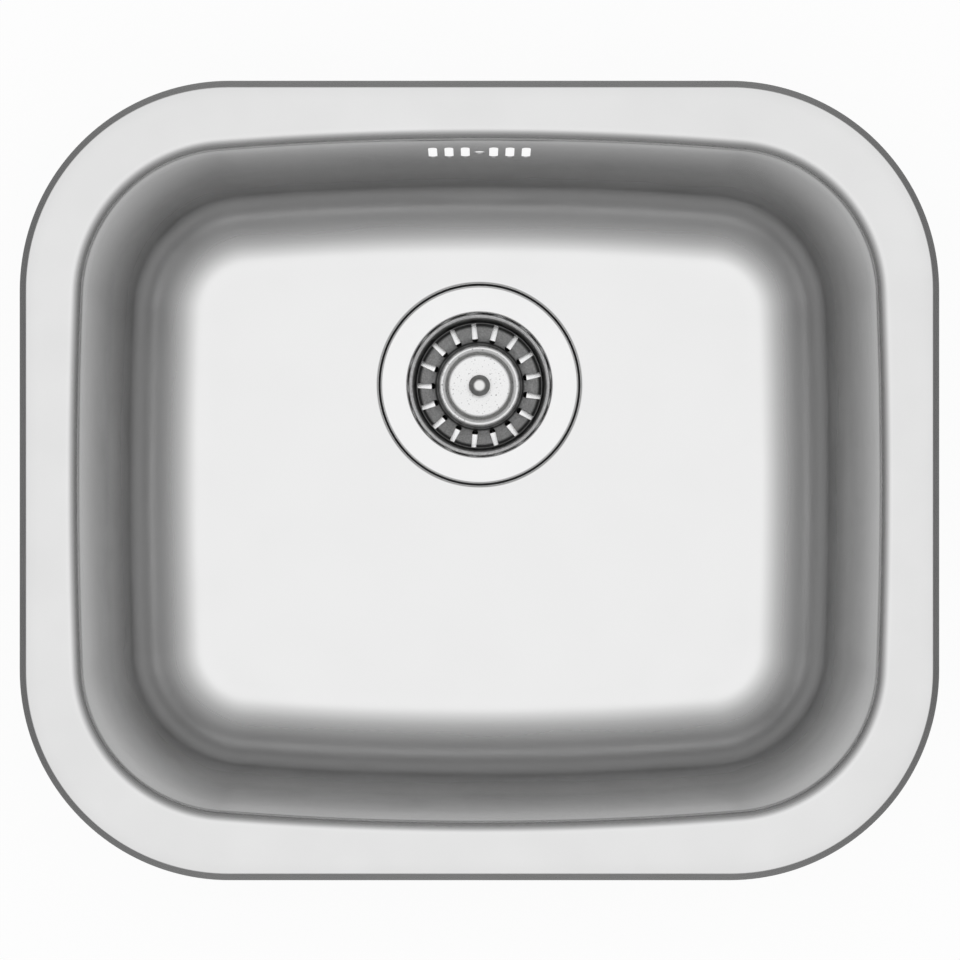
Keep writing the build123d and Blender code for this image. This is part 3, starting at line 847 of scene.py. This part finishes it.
profile = sheet_section(
    [
        (strap_foot, rim_underside),
        (strap_leg, rim_underside),
        (strap_leg, web_top),
        (-strap_leg, web_top),
        (-strap_leg, rim_underside),
        (-strap_foot, rim_underside),
    ],
    [2.0, 0.8, 0.8, 2.0],
    strap,
    12.0,
)
points, faces = prism([(p.x, p.y) for p in profile], -strap_half_width, strap_half_width)
stirrup = piece_from("stirrup", [(z, x, y) for x, y, z in points], faces)
bored(stirrup, strap_hole, web_bottom, web_top, 0.2)
eased(stirrup, 0.18)
stirrups = welded(spread(stirrup, "stirrup"), "clip_stirrups")
strap_steel, tree, shader, where, gloss = steel("stirrup_steel", 0.62, 0.34, 0.12, None, 0.8)
tree.links.new(gloss, shader.inputs["Roughness"])
finish_piece(stirrups, strap_steel, "sink", "bowl_steel", "clip_brackets")

nut_half = 4.0
nut_bottom = web_bottom - 4.0
nut_loop = plate_outline(nut_half, -nut_half, nut_half, 0.6)
weld_nut = piece_from("weld_nut", *slab(nut_loop, nut_bottom, web_bottom))
bored(weld_nut, clip_screw_radius + 0.05, nut_bottom, web_bottom, 0.4)
weld_nuts = welded(spread(weld_nut, "weld_nut"), "clip_weld_nuts")


def plated(name, tint, roughness):
    """Zinc or brass: a thin bright coat with cloudy gloss and colour."""
    made = bpy.data.materials.new(name)
    made.use_nodes = True
    tree = made.node_tree
    shader = tree.nodes["Principled BSDF"]
    shader.inputs["Metallic"].default_value = 1.0
    where = tree.nodes.new("ShaderNodeTexCoord").outputs["Object"]
    blend = node(tree, "ShaderNodeMix", data_type="RGBA")
    blend.inputs["A"].default_value = tuple(0.82 * part for part in tint) + (1.0,)
    blend.inputs["B"].default_value = tint + (1.0,)
    cloud = cloudy(tree, where, 160.0, 0.0, 1.0)
    tree.links.new(cloud, blend.inputs["Factor"])
    tree.links.new(blend.outputs["Result"], shader.inputs["Base Color"])
    gloss = cloudy(tree, where, 90.0, roughness * 0.8, roughness * 1.2)
    tree.links.new(gloss, shader.inputs["Roughness"])
    bumpy(tree, shader, where, 1400.0, 0.12)
    return made


zinc = plated("zinc_plate", (0.66, 0.68, 0.70), 0.32)
finish_piece(weld_nuts, zinc, "sink", "zinc_plate", "clip_nuts")

# Waste seals: a flat rubber ring with a thin foot between flange and recess,
# and a thick moulded ring between the recess and the waste body.
waste_centre = (0.0, waste_y * mm, 0.0)
body_flange_radius = 54.0
body_top = -7.0
seal_bore = 46.0
seal_edge = 56.0
seal_step = 53.8


def at_waste(points, turn=0.0):
    """Points moved to the waste's axis, with their heights measured from the bowl's floor."""
    return placed(points, 0.0, waste_y, floor_z, turn)


def turned(name, section, steps=192, closed=True):
    """Piece turned about the waste's axis."""
    points, faces = lathe(section, steps, closed)
    return piece_from(name, at_waste(points), faces)


black_rubber = soft_material("black_rubber", 0.012, 0.55, 600.0)
seal_section = closed_section(
    [
        (seal_bore, -recess_depth),
        (seal_edge, -recess_depth),
        (seal_edge, -2.5),
        (seal_step, -2.5),
        (seal_step, -1.2),
        (seal_bore, -1.2),
    ],
    0.25,
)
flange_seal = turned("flange_seal_ring", seal_section)
finish_piece(flange_seal, black_rubber, "sink", "black_rubber", "flange_seal")
gasket_section = closed_section(
    [
        (waste_hole_radius, body_top),
        (body_flange_radius, body_top),
        (body_flange_radius, -recess_depth - sheet),
        (waste_hole_radius, -recess_depth - sheet),
    ],
    0.5,
)
gasket = turned("body_gasket_ring", gasket_section)
finish_piece(gasket, black_rubber, "sink", "black_rubber", "body_gasket")

# Waste cup: flange, cup, plug seat and outlet drawn from one polished disc,
# with a cross left in the outlet that carries the centre screw.
flange_radius = 55.45
flange_top = -0.4
cup_mouth = 40.4
cup_floor = -33.0
seat_foot = -36.0
cup_outlet = 24.0
cross_level = -46.0
screw_hole = 3.3
cup_section = sheet_section(
    [
        (flange_radius, -2.3),
        (flange_radius, flange_top),
        (cup_mouth, flange_top),
        (38.6, cup_floor),
        (27.0, cup_floor),
        (cup_outlet, seat_foot),
        (cup_outlet, cross_level),
        (screw_hole, cross_level),
    ],
    [1.5, 0.85, 3.0, 1.2, 1.2, 1.0],
    sheet,
)
cup = turned("drawn_cup", cup_section)
window_outer = 21.6
window_inner = 8.5
spoke_half = 2.5


def band_outline(outer, inner, gap_half, first, sweep, steps):
    """Outline of a flat band part of the way round an axis, with ends that stand parallel."""
    outline = []
    for radius, outward in ((outer, True), (inner, False)):
        edge = asin(gap_half / radius)
        for step in range(steps + 1):
            share_round = step / steps if outward else 1 - step / steps
            angle = first + edge + (sweep - 2 * edge) * share_round
            outline.append((radius * cos(angle), radius * sin(angle)))
    return outline


windows = []
for quarter in range(4):
    window = band_outline(
        window_outer, window_inner, spoke_half, quarter * pi / 2, pi / 2, 12
    )
    windows.append(prism(window, cross_level - 2.0, cross_level + 1.0))
points, faces = gather(windows)
combine(cup, piece_from("window_punch", at_waste(points), faces))
cup_steel, tree, shader, where, gloss = steel("cup_steel", 0.82, 0.2, 0.05, waste_centre)
tree.links.new(gloss, shader.inputs["Roughness"])
spot = tree.nodes.new("ShaderNodeSeparateXYZ")
tree.links.new(where, spot.inputs["Vector"])
# Painted light: the seat at the foot of the cup is coloured the brightest, where it shows through
# the basket's slots.
painted_seat_light = ranged(tree, spot.outputs["Z"], -0.175, -0.155, 0.98, 0.83)
tree.links.new(painted_seat_light, shader.inputs["Base Color"])
finish_piece(cup, cup_steel, "sink", "cup_steel", "waste_cup")

# Waste body: moulded white funnel with a stiffened clamping flange, a hub on ribs for the
# centre screw, a spigot for an overflow hose and a threaded outlet.
body_outer_radius = 45.2
outlet_radius = 23.9
outlet_bore = 20.0
thread_top = -66.5
outlet_end = -98.5
funnel_low = -49.0
outlet_top = -62.5
under_flange = body_top - 3.5
gusset_half = 1.2
gusset_reach = 7.6
rib_reach = 21.5
hub_low = -72.5
hub_high = -46.8
hub_radius = 9.0
spigot_level = floor_z - 30.0
spigot_start = 43.0
spigot_neck = 46.4
spigot_end = 71.4
spigot_radius = 10.5
spigot_bore = 8.2


def thread(crest, root, pitch, low, high, chamfers, shape, steps=48):
    """Points and faces of a right-hand thread, run out into a chamfer at each end.

    The shape lists places within one pitch and how far each stands out, from 0 to 1.
    """
    count = len(shape)
    total = count * (ceil((high - low) / pitch) + 3)
    points = []
    for row in range(total):
        part, stands = shape[row % count]
        for step in range(steps):
            level = low + pitch * (row // count + part + step / steps - 1)
            radius = root + (crest - root) * stands
            for end, sign, narrow in ((low, 1, chamfers[0]), (high, -1, chamfers[1])):
                inside = sign * (level - end)
                if inside <= 0:
                    level = end
                    radius = crest - narrow
                elif inside < narrow:
                    radius = min(radius, crest - narrow + inside)
            angle = 2 * pi * step / steps
            points.append((radius * cos(angle), radius * sin(angle), level))
    faces = []
    for row in range(total - count - 1):
        for step in range(steps):
            beside = (row * steps + step + 1) if step < steps - 1 else (row + count) * steps
            faces.append((row * steps + step, beside, beside + steps, (row + 1) * steps + step))
    return points, faces


pipe_thread = [
    (0.0, 1.0),
    (0.12, 0.93),
    (0.26, 0.5),
    (0.38, 0.08),
    (0.5, 0.0),
    (0.62, 0.08),
    (0.74, 0.5),
    (0.88, 0.93),
]
thread_depth = 1.48
pipe_pitch = 2.309
outlet_thread = thread(
    outlet_radius,
    outlet_radius - thread_depth,
    pipe_pitch,
    outlet_end,
    thread_top,
    (thread_depth, thread_depth),
    pipe_thread,
    192,
)
line, _ = rounded_line(
    [
        (outlet_radius - thread_depth, thread_top),
        (26.5, thread_top),
        (26.5, outlet_top),
        (body_outer_radius - 1.6, funnel_low),
        (body_outer_radius, under_flange),
        (body_flange_radius, under_flange),
        (body_flange_radius, body_top),
        (42.6, body_top),
        (41.0, funnel_low),
        (outlet_bore, outlet_top),
        (outlet_bore, outlet_end),
        (outlet_radius - thread_depth, outlet_end),
    ],
    [0.5, 2.0, 5.0, 0.8, 0.6, 0.5, 0.4, 3.0, 2.0, 0.6],
    10.0,
)
body_wall = lathe(line, 192, False)
points, faces = gather([body_wall, outlet_thread])
body = piece_from("moulded_body", at_waste(points), faces)
side = [
    (body_outer_radius - 1.3, body_top - 3.3),
    (body_outer_radius + gusset_reach, body_top - 3.3),
    (body_outer_radius + gusset_reach, body_top - 4.1),
    (body_outer_radius - 1.3, body_top - 17.5),
]
points, gusset_faces = prism(side, -gusset_half, gusset_half)
upright = [(r, along, z) for r, z, along in points]
gussets = [(at_waste(upright, 22.5 + 45.0 * turn), gusset_faces) for turn in range(8)]
combine(body, piece_from("gussets", *gather(gussets)), "UNION")


def rectangle(half_length, half_width):
    """Corners of a rectangle."""
    return [
        (-half_length, -half_width),
        (half_length, -half_width),
        (half_length, half_width),
        (-half_length, half_width),
    ]


points, faces = prism(rectangle(rib_reach, gusset_half), hub_low, outlet_top)
for turn in (0.0, 90.0):
    combine(body, piece_from("rib", at_waste(points, turn), faces), "UNION")
line, _ = rounded_line(
    [(0.0, hub_low), (hub_radius, hub_low), (hub_radius, hub_high), (0.0, hub_high)], [0.4, 0.4]
)
combine(body, turned("hub", line, 64, False), "UNION")
bore_low = hub_low - 1.5
bore_high = cross_level + 1.0
line = [(0.0, bore_low), (screw_hole, bore_low), (screw_hole, bore_high), (0.0, bore_high)]
combine(body, turned("bore", line, 48, False))


def hexagon(across_flats):
    """Corners of a hexagon."""
    reach = across_flats / 2 / cos(pi / 6)
    return [(reach * sin(pi * turn / 3), -reach * cos(pi * turn / 3)) for turn in range(6)]


nut_high = -65.0
nut_flats = 10.0
points, faces = prism(hexagon(nut_flats + 0.2), bore_low, nut_high)
combine(body, piece_from("pocket", at_waste(points), faces))


def lying_back(name, section):
    """Piece turned about the spigot's axis, which lies level and runs towards the back."""
    points, faces = lathe(section, 96, False)
    return piece_from(name, [(x, waste_y + z, spigot_level - y) for x, y, z in points], faces)


line, _ = rounded_line(
    [
        (0.0, spigot_start),
        (spigot_radius + 2.0, spigot_start),
        (spigot_radius + 2.0, spigot_neck),
        (spigot_radius, spigot_neck),
        (spigot_radius, spigot_end),
        (0.0, spigot_end),
    ],
    [0.1, 0.4, 0.4, 1.0],
)
combine(body, lying_back("spigot", line), "UNION")
line = [
    (0.0, spigot_start - 5.0),
    (spigot_bore, spigot_start - 5.0),
    (spigot_bore, 70.8),
    (spigot_bore + 0.6, spigot_end + 1.0),
    (0.0, spigot_end + 1.0),
]
combine(body, lying_back("spigot_hollow", line))
plastic = bpy.data.materials.new("white_polypropylene")
plastic.use_nodes = True
tree = plastic.node_tree
shader = tree.nodes["Principled BSDF"]
shader.inputs["Base Color"].default_value = (0.74, 0.74, 0.71, 1.0)
shader.inputs["Subsurface Weight"].default_value = 0.25
shader.inputs["Subsurface Radius"].default_value = (0.004, 0.0035, 0.003)
shader.inputs["IOR"].default_value = 1.49
where = tree.nodes.new("ShaderNodeTexCoord").outputs["Object"]
tree.links.new(cloudy(tree, where, 60.0, 0.36, 0.48), shader.inputs["Roughness"])
bumpy(tree, shader, where, 2200.0, 0.15)
finish_piece(body, plastic, "sink", "white_polypropylene", "waste_body")

# Centre screw and nut: the turned screw's slotted head stands on the cross of the cup,
# its shank runs down through the hub, and a brass nut sits in the hub's pocket.
metal_thread = [(0.0, 1.0), (0.125, 1.0), (0.4375, 0.0), (0.6875, 0.0)]
screw_tip = -71.0
shank_radius = 3.0
shank_root = 2.39
shank_pitch = 1.0
shank_top = cross_level - 0.6
screw_top = cross_level + 5.0
socket_radius = 2.08
socket_foot = cross_level + 0.2
shank = thread(
    shank_radius, shank_root, shank_pitch, screw_tip, shank_top, (0.6, 0.6), metal_thread
)
line, _ = rounded_line(
    [
        (2.4, shank_top),
        (2.4, cross_level),
        (6.0, cross_level),
        (6.0, screw_top),
        (socket_radius, screw_top),
        (socket_radius, socket_foot),
        (0.0, socket_foot),
    ],
    [0.1, 0.2, 0.6, 0.25, 0.1],
)
head = lathe(line, 48, False)
tip = lathe([(0.0, screw_tip), (2.4, screw_tip)], 48, False)
points, faces = gather([shank, head, tip])
screw = piece_from("centre_screw", at_waste(points), faces)

points, faces = prism(rectangle(7.0, 0.8), screw_top - 1.8, screw_top + 1.0)
combine(screw, piece_from("slot_cut", at_waste(points, 35.0), faces))
knob_steel, tree, shader, where, gloss = steel("knob_steel", 0.85, 0.34, 0.05, waste_centre, 0.9)
tree.links.new(gloss, shader.inputs["Roughness"])
finish_piece(screw, knob_steel, "sink", "knob_steel", "waste_screw")


def chamfered_hexagon(name, across_flats, low, high, both=True):
    """Hexagon with its corners turned off at one end or at both."""
    made = piece_from(name, *prism(hexagon(across_flats), low, high))
    flat = across_flats / 2 - 0.1
    rise = 0.9
    lower = [(flat, low), (flat + 1.6, low + rise)] if both else [(flat + 1.6, low)]
    line = [(0.0, low), *lower, (flat + 1.6, high - rise), (flat, high), (0.0, high)]
    combine(made, piece_from("turning", *lathe(line, 96, False)), "INTERSECT", 20.0)
    return made


nut_low = nut_high - 5.0
nut = chamfered_hexagon("brass_nut", nut_flats, nut_low, nut_high)
bored(nut, shank_radius, nut_low, nut_high, 0.35)
nut.data.transform(Matrix.Translation((0.0, waste_y * mm, floor_z * mm)))
brass = plated("brass", (0.80, 0.58, 0.26), 0.26)
finish_piece(nut, brass, "sink", "brass", "waste_nut")

# Strainer basket: pressed stainless sheet with a rolled bead, a steep wall with a fine ledge
# at its foot, and a cone with seventeen slots, each with a round inner end.
basket_sheet = 0.6
slot_count = 17
slot_start = 24.6
slot_stop = 34.9
slot_ledge = 34.2
slot_inner_half = 1.65
slot_outer_half = 1.3
slot_columns = 5
web_columns = 6
half_sector = pi / slot_count
bead_level = -6.0
ledge_level = -14.9
basket_floor = -25.5
stem_hole = 2.68
basket_line, _ = rounded_line(
    [
        (37.1, bead_level),
        (35.6, ledge_level),
        (34.95, ledge_level),
        (34.6, -16.05),
        (23.1, basket_floor),
        (stem_hole, basket_floor),
    ],
    [0.5, 0.2, 0.3, 1.5],
    10.0,
)
basket_line = basket_line[::-1]


def basket_height(radius):
    """Height of the basket's upper side at a radius, inside the foot of its wall."""
    for start, end in zip(basket_line, basket_line[1:]):
        if start.x <= radius <= end.x:
            return start.y + (end.y - start.y) * (radius - start.x) / (end.x - start.x)
    return basket_line[0].y


def slot_edge(share_out):
    """Angle and radius of a slot's straight edge."""
    round_centre = slot_start + slot_inner_half
    x = round_centre + (slot_stop - round_centre) * share_out
    y = slot_inner_half + (slot_outer_half - slot_inner_half) * share_out
    return atan2(y, x), hypot(x, y)


def sector_angles(edge_angle):
    """Angles across half a sector, from the slot's middle to the web's middle."""
    inner = [edge_angle * step / slot_columns for step in range(slot_columns + 1)]
    web = [
        edge_angle + (half_sector - edge_angle) * step / web_columns
        for step in range(1, web_columns + 1)
    ]
    return inner + web


half_columns = slot_columns + web_columns
basket_rows = []
edge_angle, edge_radius = slot_edge(0.0)
full_radius = 24.0
blend_rows = 6
even_rows = 8
ledge_rows = 5
for p in basket_line:
    if p.x < full_radius - 0.1:
        basket_rows.append([(a, p.x, p.y) for a in sector_angles(edge_angle)])
round_row = []
for step in range(slot_columns + 1):
    turn = pi - pi / 2 * step / slot_columns
    x = slot_start + slot_inner_half + slot_inner_half * cos(turn)
    y = slot_inner_half * sin(turn)
    round_row.append((atan2(y, x), hypot(x, y)))
round_row += [(a, edge_radius) for a in sector_angles(edge_angle)[slot_columns + 1 :]]
even_angles = sector_angles(edge_angle)
for step in range(blend_rows + 1):
    share_out = step / blend_rows
    row = []
    for column, (angle, radius) in enumerate(round_row):
        a = even_angles[column] * (1 - share_out) + angle * share_out
        r = full_radius * (1 - share_out) + radius * share_out
        row.append((a, r, basket_height(r)))
    basket_rows.append(row)
slotted_from = len(basket_rows) - 1
slot_reach = slot_stop - slot_start - slot_inner_half
slot_rows = [0.105 * step for step in range(1, even_rows + 1)]
slot_rows += [
    1.0 - (slot_stop - slot_ledge) / slot_reach * step / ledge_rows
    for step in range(ledge_rows, -1, -1)
]
for share_out in slot_rows:
    edge_angle, edge_radius = slot_edge(share_out)
    row = [(a, edge_radius, basket_height(edge_radius)) for a in sector_angles(edge_angle)]
    basket_rows.append(row)
slotted_to = len(basket_rows) - 1
for p in basket_line:
    if p.x > edge_radius + 0.02:
        basket_rows.append([(a, p.x, p.y) for a in sector_angles(edge_angle)])

points = []
faces = []
columns = 2 * half_columns * slot_count
for row in basket_rows:
    for sector in range(slot_count):
        middle = pi + 2 * pi * sector / slot_count
        both = [(-a, r, z) for a, r, z in row[:0:-1]] + row[:-1]
        points += [(r * cos(middle + a), r * sin(middle + a), z) for a, r, z in both]
for row in range(len(basket_rows) - 1):
    for column in range(columns):
        in_sector = column % (2 * half_columns)
        over_slot = half_columns - slot_columns <= in_sector < half_columns + slot_columns
        if slotted_from <= row < slotted_to and over_slot:
            continue
        following = (column + 1) % columns
        inner = row * columns
        outer = inner + columns
        faces.append((inner + column, inner + following, outer + following, outer + column))
basket = piece_from("strainer_basket", at_waste(points), faces)
if sum(face.normal.z for face in basket.data.polygons) < 0:
    basket.data.flip_normals()
thick = basket.modifiers.new("sheet", "SOLIDIFY")
thick.thickness = basket_sheet * mm
thick.offset = -1.0
thick.use_even_offset = True
eased(basket, 0.2, 50.0)
basket_steel, tree, shader, where, gloss = steel(
    "basket_steel", 0.66, 0.3, 0.5, waste_centre, 0.6
)
tree.links.new(gloss, shader.inputs["Roughness"])


ring_span = 40.0


def reach_from(tree, source, centre):
    """Distance from the waste's axis, as a share of the rings' span."""
    offset = node(tree, "ShaderNodeVectorMath", operation="SUBTRACT")
    offset.inputs[1].default_value = centre
    tree.links.new(source, offset.inputs[0])
    flat = node(tree, "ShaderNodeVectorMath", operation="MULTIPLY")
    flat.inputs[1].default_value = (1 / (ring_span * mm), 1 / (ring_span * mm), 0.0)
    tree.links.new(offset.outputs[0], flat.inputs[0])
    reach = node(tree, "ShaderNodeVectorMath", operation="LENGTH")
    tree.links.new(flat.outputs[0], reach.inputs[0])
    return reach.outputs["Value"]


# Painted shade and light at each radius: painted shade round the dish's foot, at both ends of the
# slots and at the foot of the wall, painted highlight lines on the cone's foot and the bead, grey
# on the webs.
rings = [
    (22.3, 0.24),
    (23.5, 0.36),
    (24.15, 0.5),
    (24.4, 0.16),
    (24.9, 0.09),
    (25.3, 0.36),
    (25.8, 0.66),
    (32.6, 0.64),
    (33.3, 0.28),
    (33.8, 0.07),
    (34.4, 0.06),
    (34.75, 0.13),
    (35.1, 0.15),
    (35.5, 0.05),
    (36.1, 0.06),
    (36.7, 0.2),
    (37.3, 0.36),
    (37.9, 0.5),
    (38.4, 0.42),
    (39.0, 0.74),
]
away = reach_from(tree, where, waste_centre)
painted_ring_shade = ramp(tree, [(radius / ring_span, level) for radius, level in rings], away)
brushed = cloudy(tree, where, 900.0, 0.8, 1.2)
tree.links.new(math(tree, "MULTIPLY", painted_ring_shade, brushed), shader.inputs["Base Color"])
finish_piece(basket, basket_steel, "basket", "basket_steel", "basket_shell")
bead_middle = 38.4
bead_radius = 1.4
bead_steps = 48
groove_depth = 0.16
groove_half = 30.0
bead_section = []
for step in range(bead_steps):
    angle = 2 * pi * step / bead_steps
    groove = max(0.0, 1.0 - abs(degrees(angle) - 90.0) / groove_half)
    radius = bead_radius - groove_depth * groove**2
    bead_section.append((bead_middle + radius * cos(angle), bead_level + radius * sin(angle)))
bead = turned("basket_bead", bead_section)
finish_piece(bead, basket_steel, "basket", "basket_steel")

# Dish in the middle of the basket: pressed stainless, with a rolled crown,
# a soft hollow and a hole for the stem.
dish_radius = 22.5
dish_floor = -21.5
dish_section = sheet_section(
    [
        (dish_radius, basket_floor),
        (dish_radius, -19.25),
        (21.2, -18.9),
        (19.5, -19.55),
        (17.1, dish_floor),
        (stem_hole, dish_floor),
    ],
    [0.6, 1.5, 2.5, 3.0],
    basket_sheet,
    5.0,
)
dish = turned("pressed_dish", dish_section)
dish_steel, tree, shader, where, gloss = steel(
    "dish_steel", 0.82, 0.24, 0.1, waste_centre, 0.6, 0.5
)
tree.links.new(gloss, shader.inputs["Roughness"])
finish_piece(dish, dish_steel, "basket", "basket_steel", "basket_dish")

# Rubber plug, washer and ring: the moulded plug closes the cup's conical seat, and a turned
# steel washer and an open spring ring hold it up on the stem.
stem_radius = 2.6
plug_radius = 25.75
plug_low = -35.4
plug_high = -29.9
boss_radius = 11.0
boss_high = -26.3
washer_low = -36.6
ring_low = -37.5
groove_radius = 2.1
plug_section = closed_section(
    [
        (stem_radius, plug_low),
        (24.1757, plug_low),
        (plug_radius, -33.8257),
        (plug_radius, plug_high),
        (boss_radius, plug_high),
        (boss_radius, boss_high),
        (stem_radius, boss_high),
    ],
    0.3,
)
plug = turned("rubber_plug", plug_section)
finish_piece(plug, black_rubber, "plug", "black_rubber", "plug_seal")
washer_radius = 10.0
washer_section = closed_section(
    [
        (stem_radius, washer_low),
        (washer_radius, washer_low),
        (washer_radius, plug_low),
        (stem_radius, plug_low),
    ],
    0.2,
)
plug_washer = turned("stem_washer", washer_section, 96)
finish_piece(plug_washer, knob_steel, "plug", "knob_steel", "plug_washer")
ring_outline = band_outline(4.6, groove_radius, 1.5, 0.0, 2 * pi, 48)
points, faces = prism(ring_outline, ring_low, washer_low)
spring = piece_from("spring_ring", at_waste(points), faces)
eased(spring, 0.12)
finish_piece(spring, knob_steel, "plug", "knob_steel", "stem_ring")

# Stem and knob: the turned stem carries the plug, passes up through basket and dish,
# and its thin top is pressed into the turned knob.
tip_radius = 2.0
tip_low = -45.6
stem_top = -12.8
knob_low = -21.3
knob_radius = 6.05
knob_foot_radius = 4.6
knob_neck_radius = 3.1
knob_underside = -14.4
knob_top = -10.2
line, _ = rounded_line(
    [
        (0.0, tip_low),
        (1.5, tip_low),
        (tip_radius, -45.1),
        (tip_radius, -39.5),
        (stem_radius, -38.5),
        (stem_radius, ring_low),
        (groove_radius, ring_low),
        (groove_radius, washer_low),
        (stem_radius, washer_low),
        (stem_radius, knob_low),
        (tip_radius, knob_low),
        (tip_radius, stem_top),
        (0.0, stem_top),
    ],
    [0.1, 0.1, 0.3, 0.3, 0.1, 0.05, 0.05, 0.1, 0.1, 0.05, 0.3],
    12.0,
)
stem = turned("turned_stem", line, 96, False)
finish_piece(stem, knob_steel, "plug", "knob_steel", "plug_stem")
line, _ = rounded_line(
    [
        (0.0, knob_low),
        (knob_foot_radius, knob_low),
        (knob_foot_radius, -19.9),
        (knob_neck_radius, -18.5),
        (knob_neck_radius, knob_underside),
        (knob_radius, knob_underside),
        (knob_radius, -13.2),
        (3.05, knob_top),
        (0.0, knob_top),
    ],
    [0.3, 0.3, 0.6, 0.5, 0.3, 0.5, 2.0],
    6.0,
)
knob = turned("turned_knob", line, 96, False)
finish_piece(knob, knob_steel, "plug", "knob_steel", "basket_knob")

# Clip screws: zinc-plated, with a rolled thread, and a hexagon head below that a driver fits too.
# Each hangs head down through its weld nut.
screw_low = -50.3
screw_high = -10.3
head_low = -53.9
neck_radius = 2.05
clip_thread_root = 2.01
clip_pitch = 0.8
bolt_flats = 8.0
thread_low = screw_low + 0.4
shank = thread(
    clip_screw_radius,
    clip_thread_root,
    clip_pitch,
    thread_low,
    screw_high,
    (0.45, 0.6),
    metal_thread,
    36,
)
neck_low = screw_low - 0.5
neck = lathe([(1.8, neck_low), (neck_radius, neck_low), (neck_radius, thread_low)], 36, False)
tip = lathe([(1.9, screw_high), (0.0, screw_high)], 36, False)
points, faces = gather([shank, neck, tip])
stud = piece_from("stud", points, faces)
bolt = chamfered_hexagon("clip_bolt", bolt_flats, head_low, screw_low, False)
driver = prism(rectangle(6.0, 0.6), head_low - 1.0, head_low + 1.5)
combine(bolt, piece_from("driver_slot", *driver))
eased(bolt, 0.12, 40.0)
joined = welded([bolt, stud], "clip_bolt")
joined.data.shade_smooth()
joined.data.set_sharp_from_angle(angle=radians(crease))
for number, bolt in enumerate(spread(joined, "clip_bolt"), start=1):
    finish_piece(bolt, zinc, f"clip_screw_body_{number}", "zinc_plate", f"clip_screw_{number}")

# Thrust washers: discs punched from zinc-plated strip. One lies loose on each screw, between
# its head and the claw, and lets the claw swing.
claw_low = screw_low + 1.0
bolt_hole = clip_screw_radius + 0.05
disc_radius = 5.0
washer_section = closed_section(
    [
        (bolt_hole, screw_low),
        (disc_radius, screw_low),
        (disc_radius, claw_low),
        (bolt_hole, claw_low),
    ],
    0.15,
)
disc = piece_from("disc", *lathe(washer_section, 64))
for number, disc in enumerate(spread(disc, "thrust_washer"), start=1):
    finish_piece(disc, zinc, f"clip_carrier_{number}", "zinc_plate", f"clip_washer_{number}")

# Claws: channels pressed from zinc-plated steel sheet, with a bridge on the screw and two
# toothed sides that reach out and bite into the worktop from below.
claw_high = claw_low + 10.0
claw_half = 6.0
claw_sheet = 1.5
claw_back = -8.0
claw_heel = 11.0
claw_reach = 16.3
low_side = 4.5
tooth = 1.7
profile = sheet_section(
    [
        (-claw_half, claw_high + 1.0),
        (-claw_half, claw_low),
        (claw_half, claw_low),
        (claw_half, claw_high + 1.0),
    ],
    [2.0, 2.0],
    claw_sheet,
    15.0,
)
points, faces = prism([(p.x, p.y) for p in profile], -9.0, 17.5)
claw = piece_from("claw", [(along, y, z) for y, z, along in points], faces)
side = [
    (claw_back, claw_low - 1.0),
    (claw_heel, claw_low - 1.0),
    (claw_heel, claw_low),
    (claw_reach, claw_high - tooth),
    (claw_reach, claw_high),
    (claw_reach - tooth, claw_high - tooth),
    (claw_reach - tooth, claw_high),
    (claw_reach - 2 * tooth, claw_high - tooth),
    (claw_reach - 2 * tooth, claw_high),
    (claw_heel - low_side, claw_low + low_side),
    (claw_back, claw_low + low_side),
]
points, faces = prism(side, -8.0, 8.0)
combine(claw, piece_from("side", [(x, -y, z) for x, z, y in points], faces), "INTERSECT")
bored(claw, bolt_hole, claw_low, claw_low + claw_sheet, 0.2)
eased(claw, 0.15)
for number, claw in enumerate(spread(claw, "pressed_claw"), start=1):
    finish_piece(claw, zinc, f"clip_claw_body_{number}", "zinc_plate", f"clip_claw_{number}")
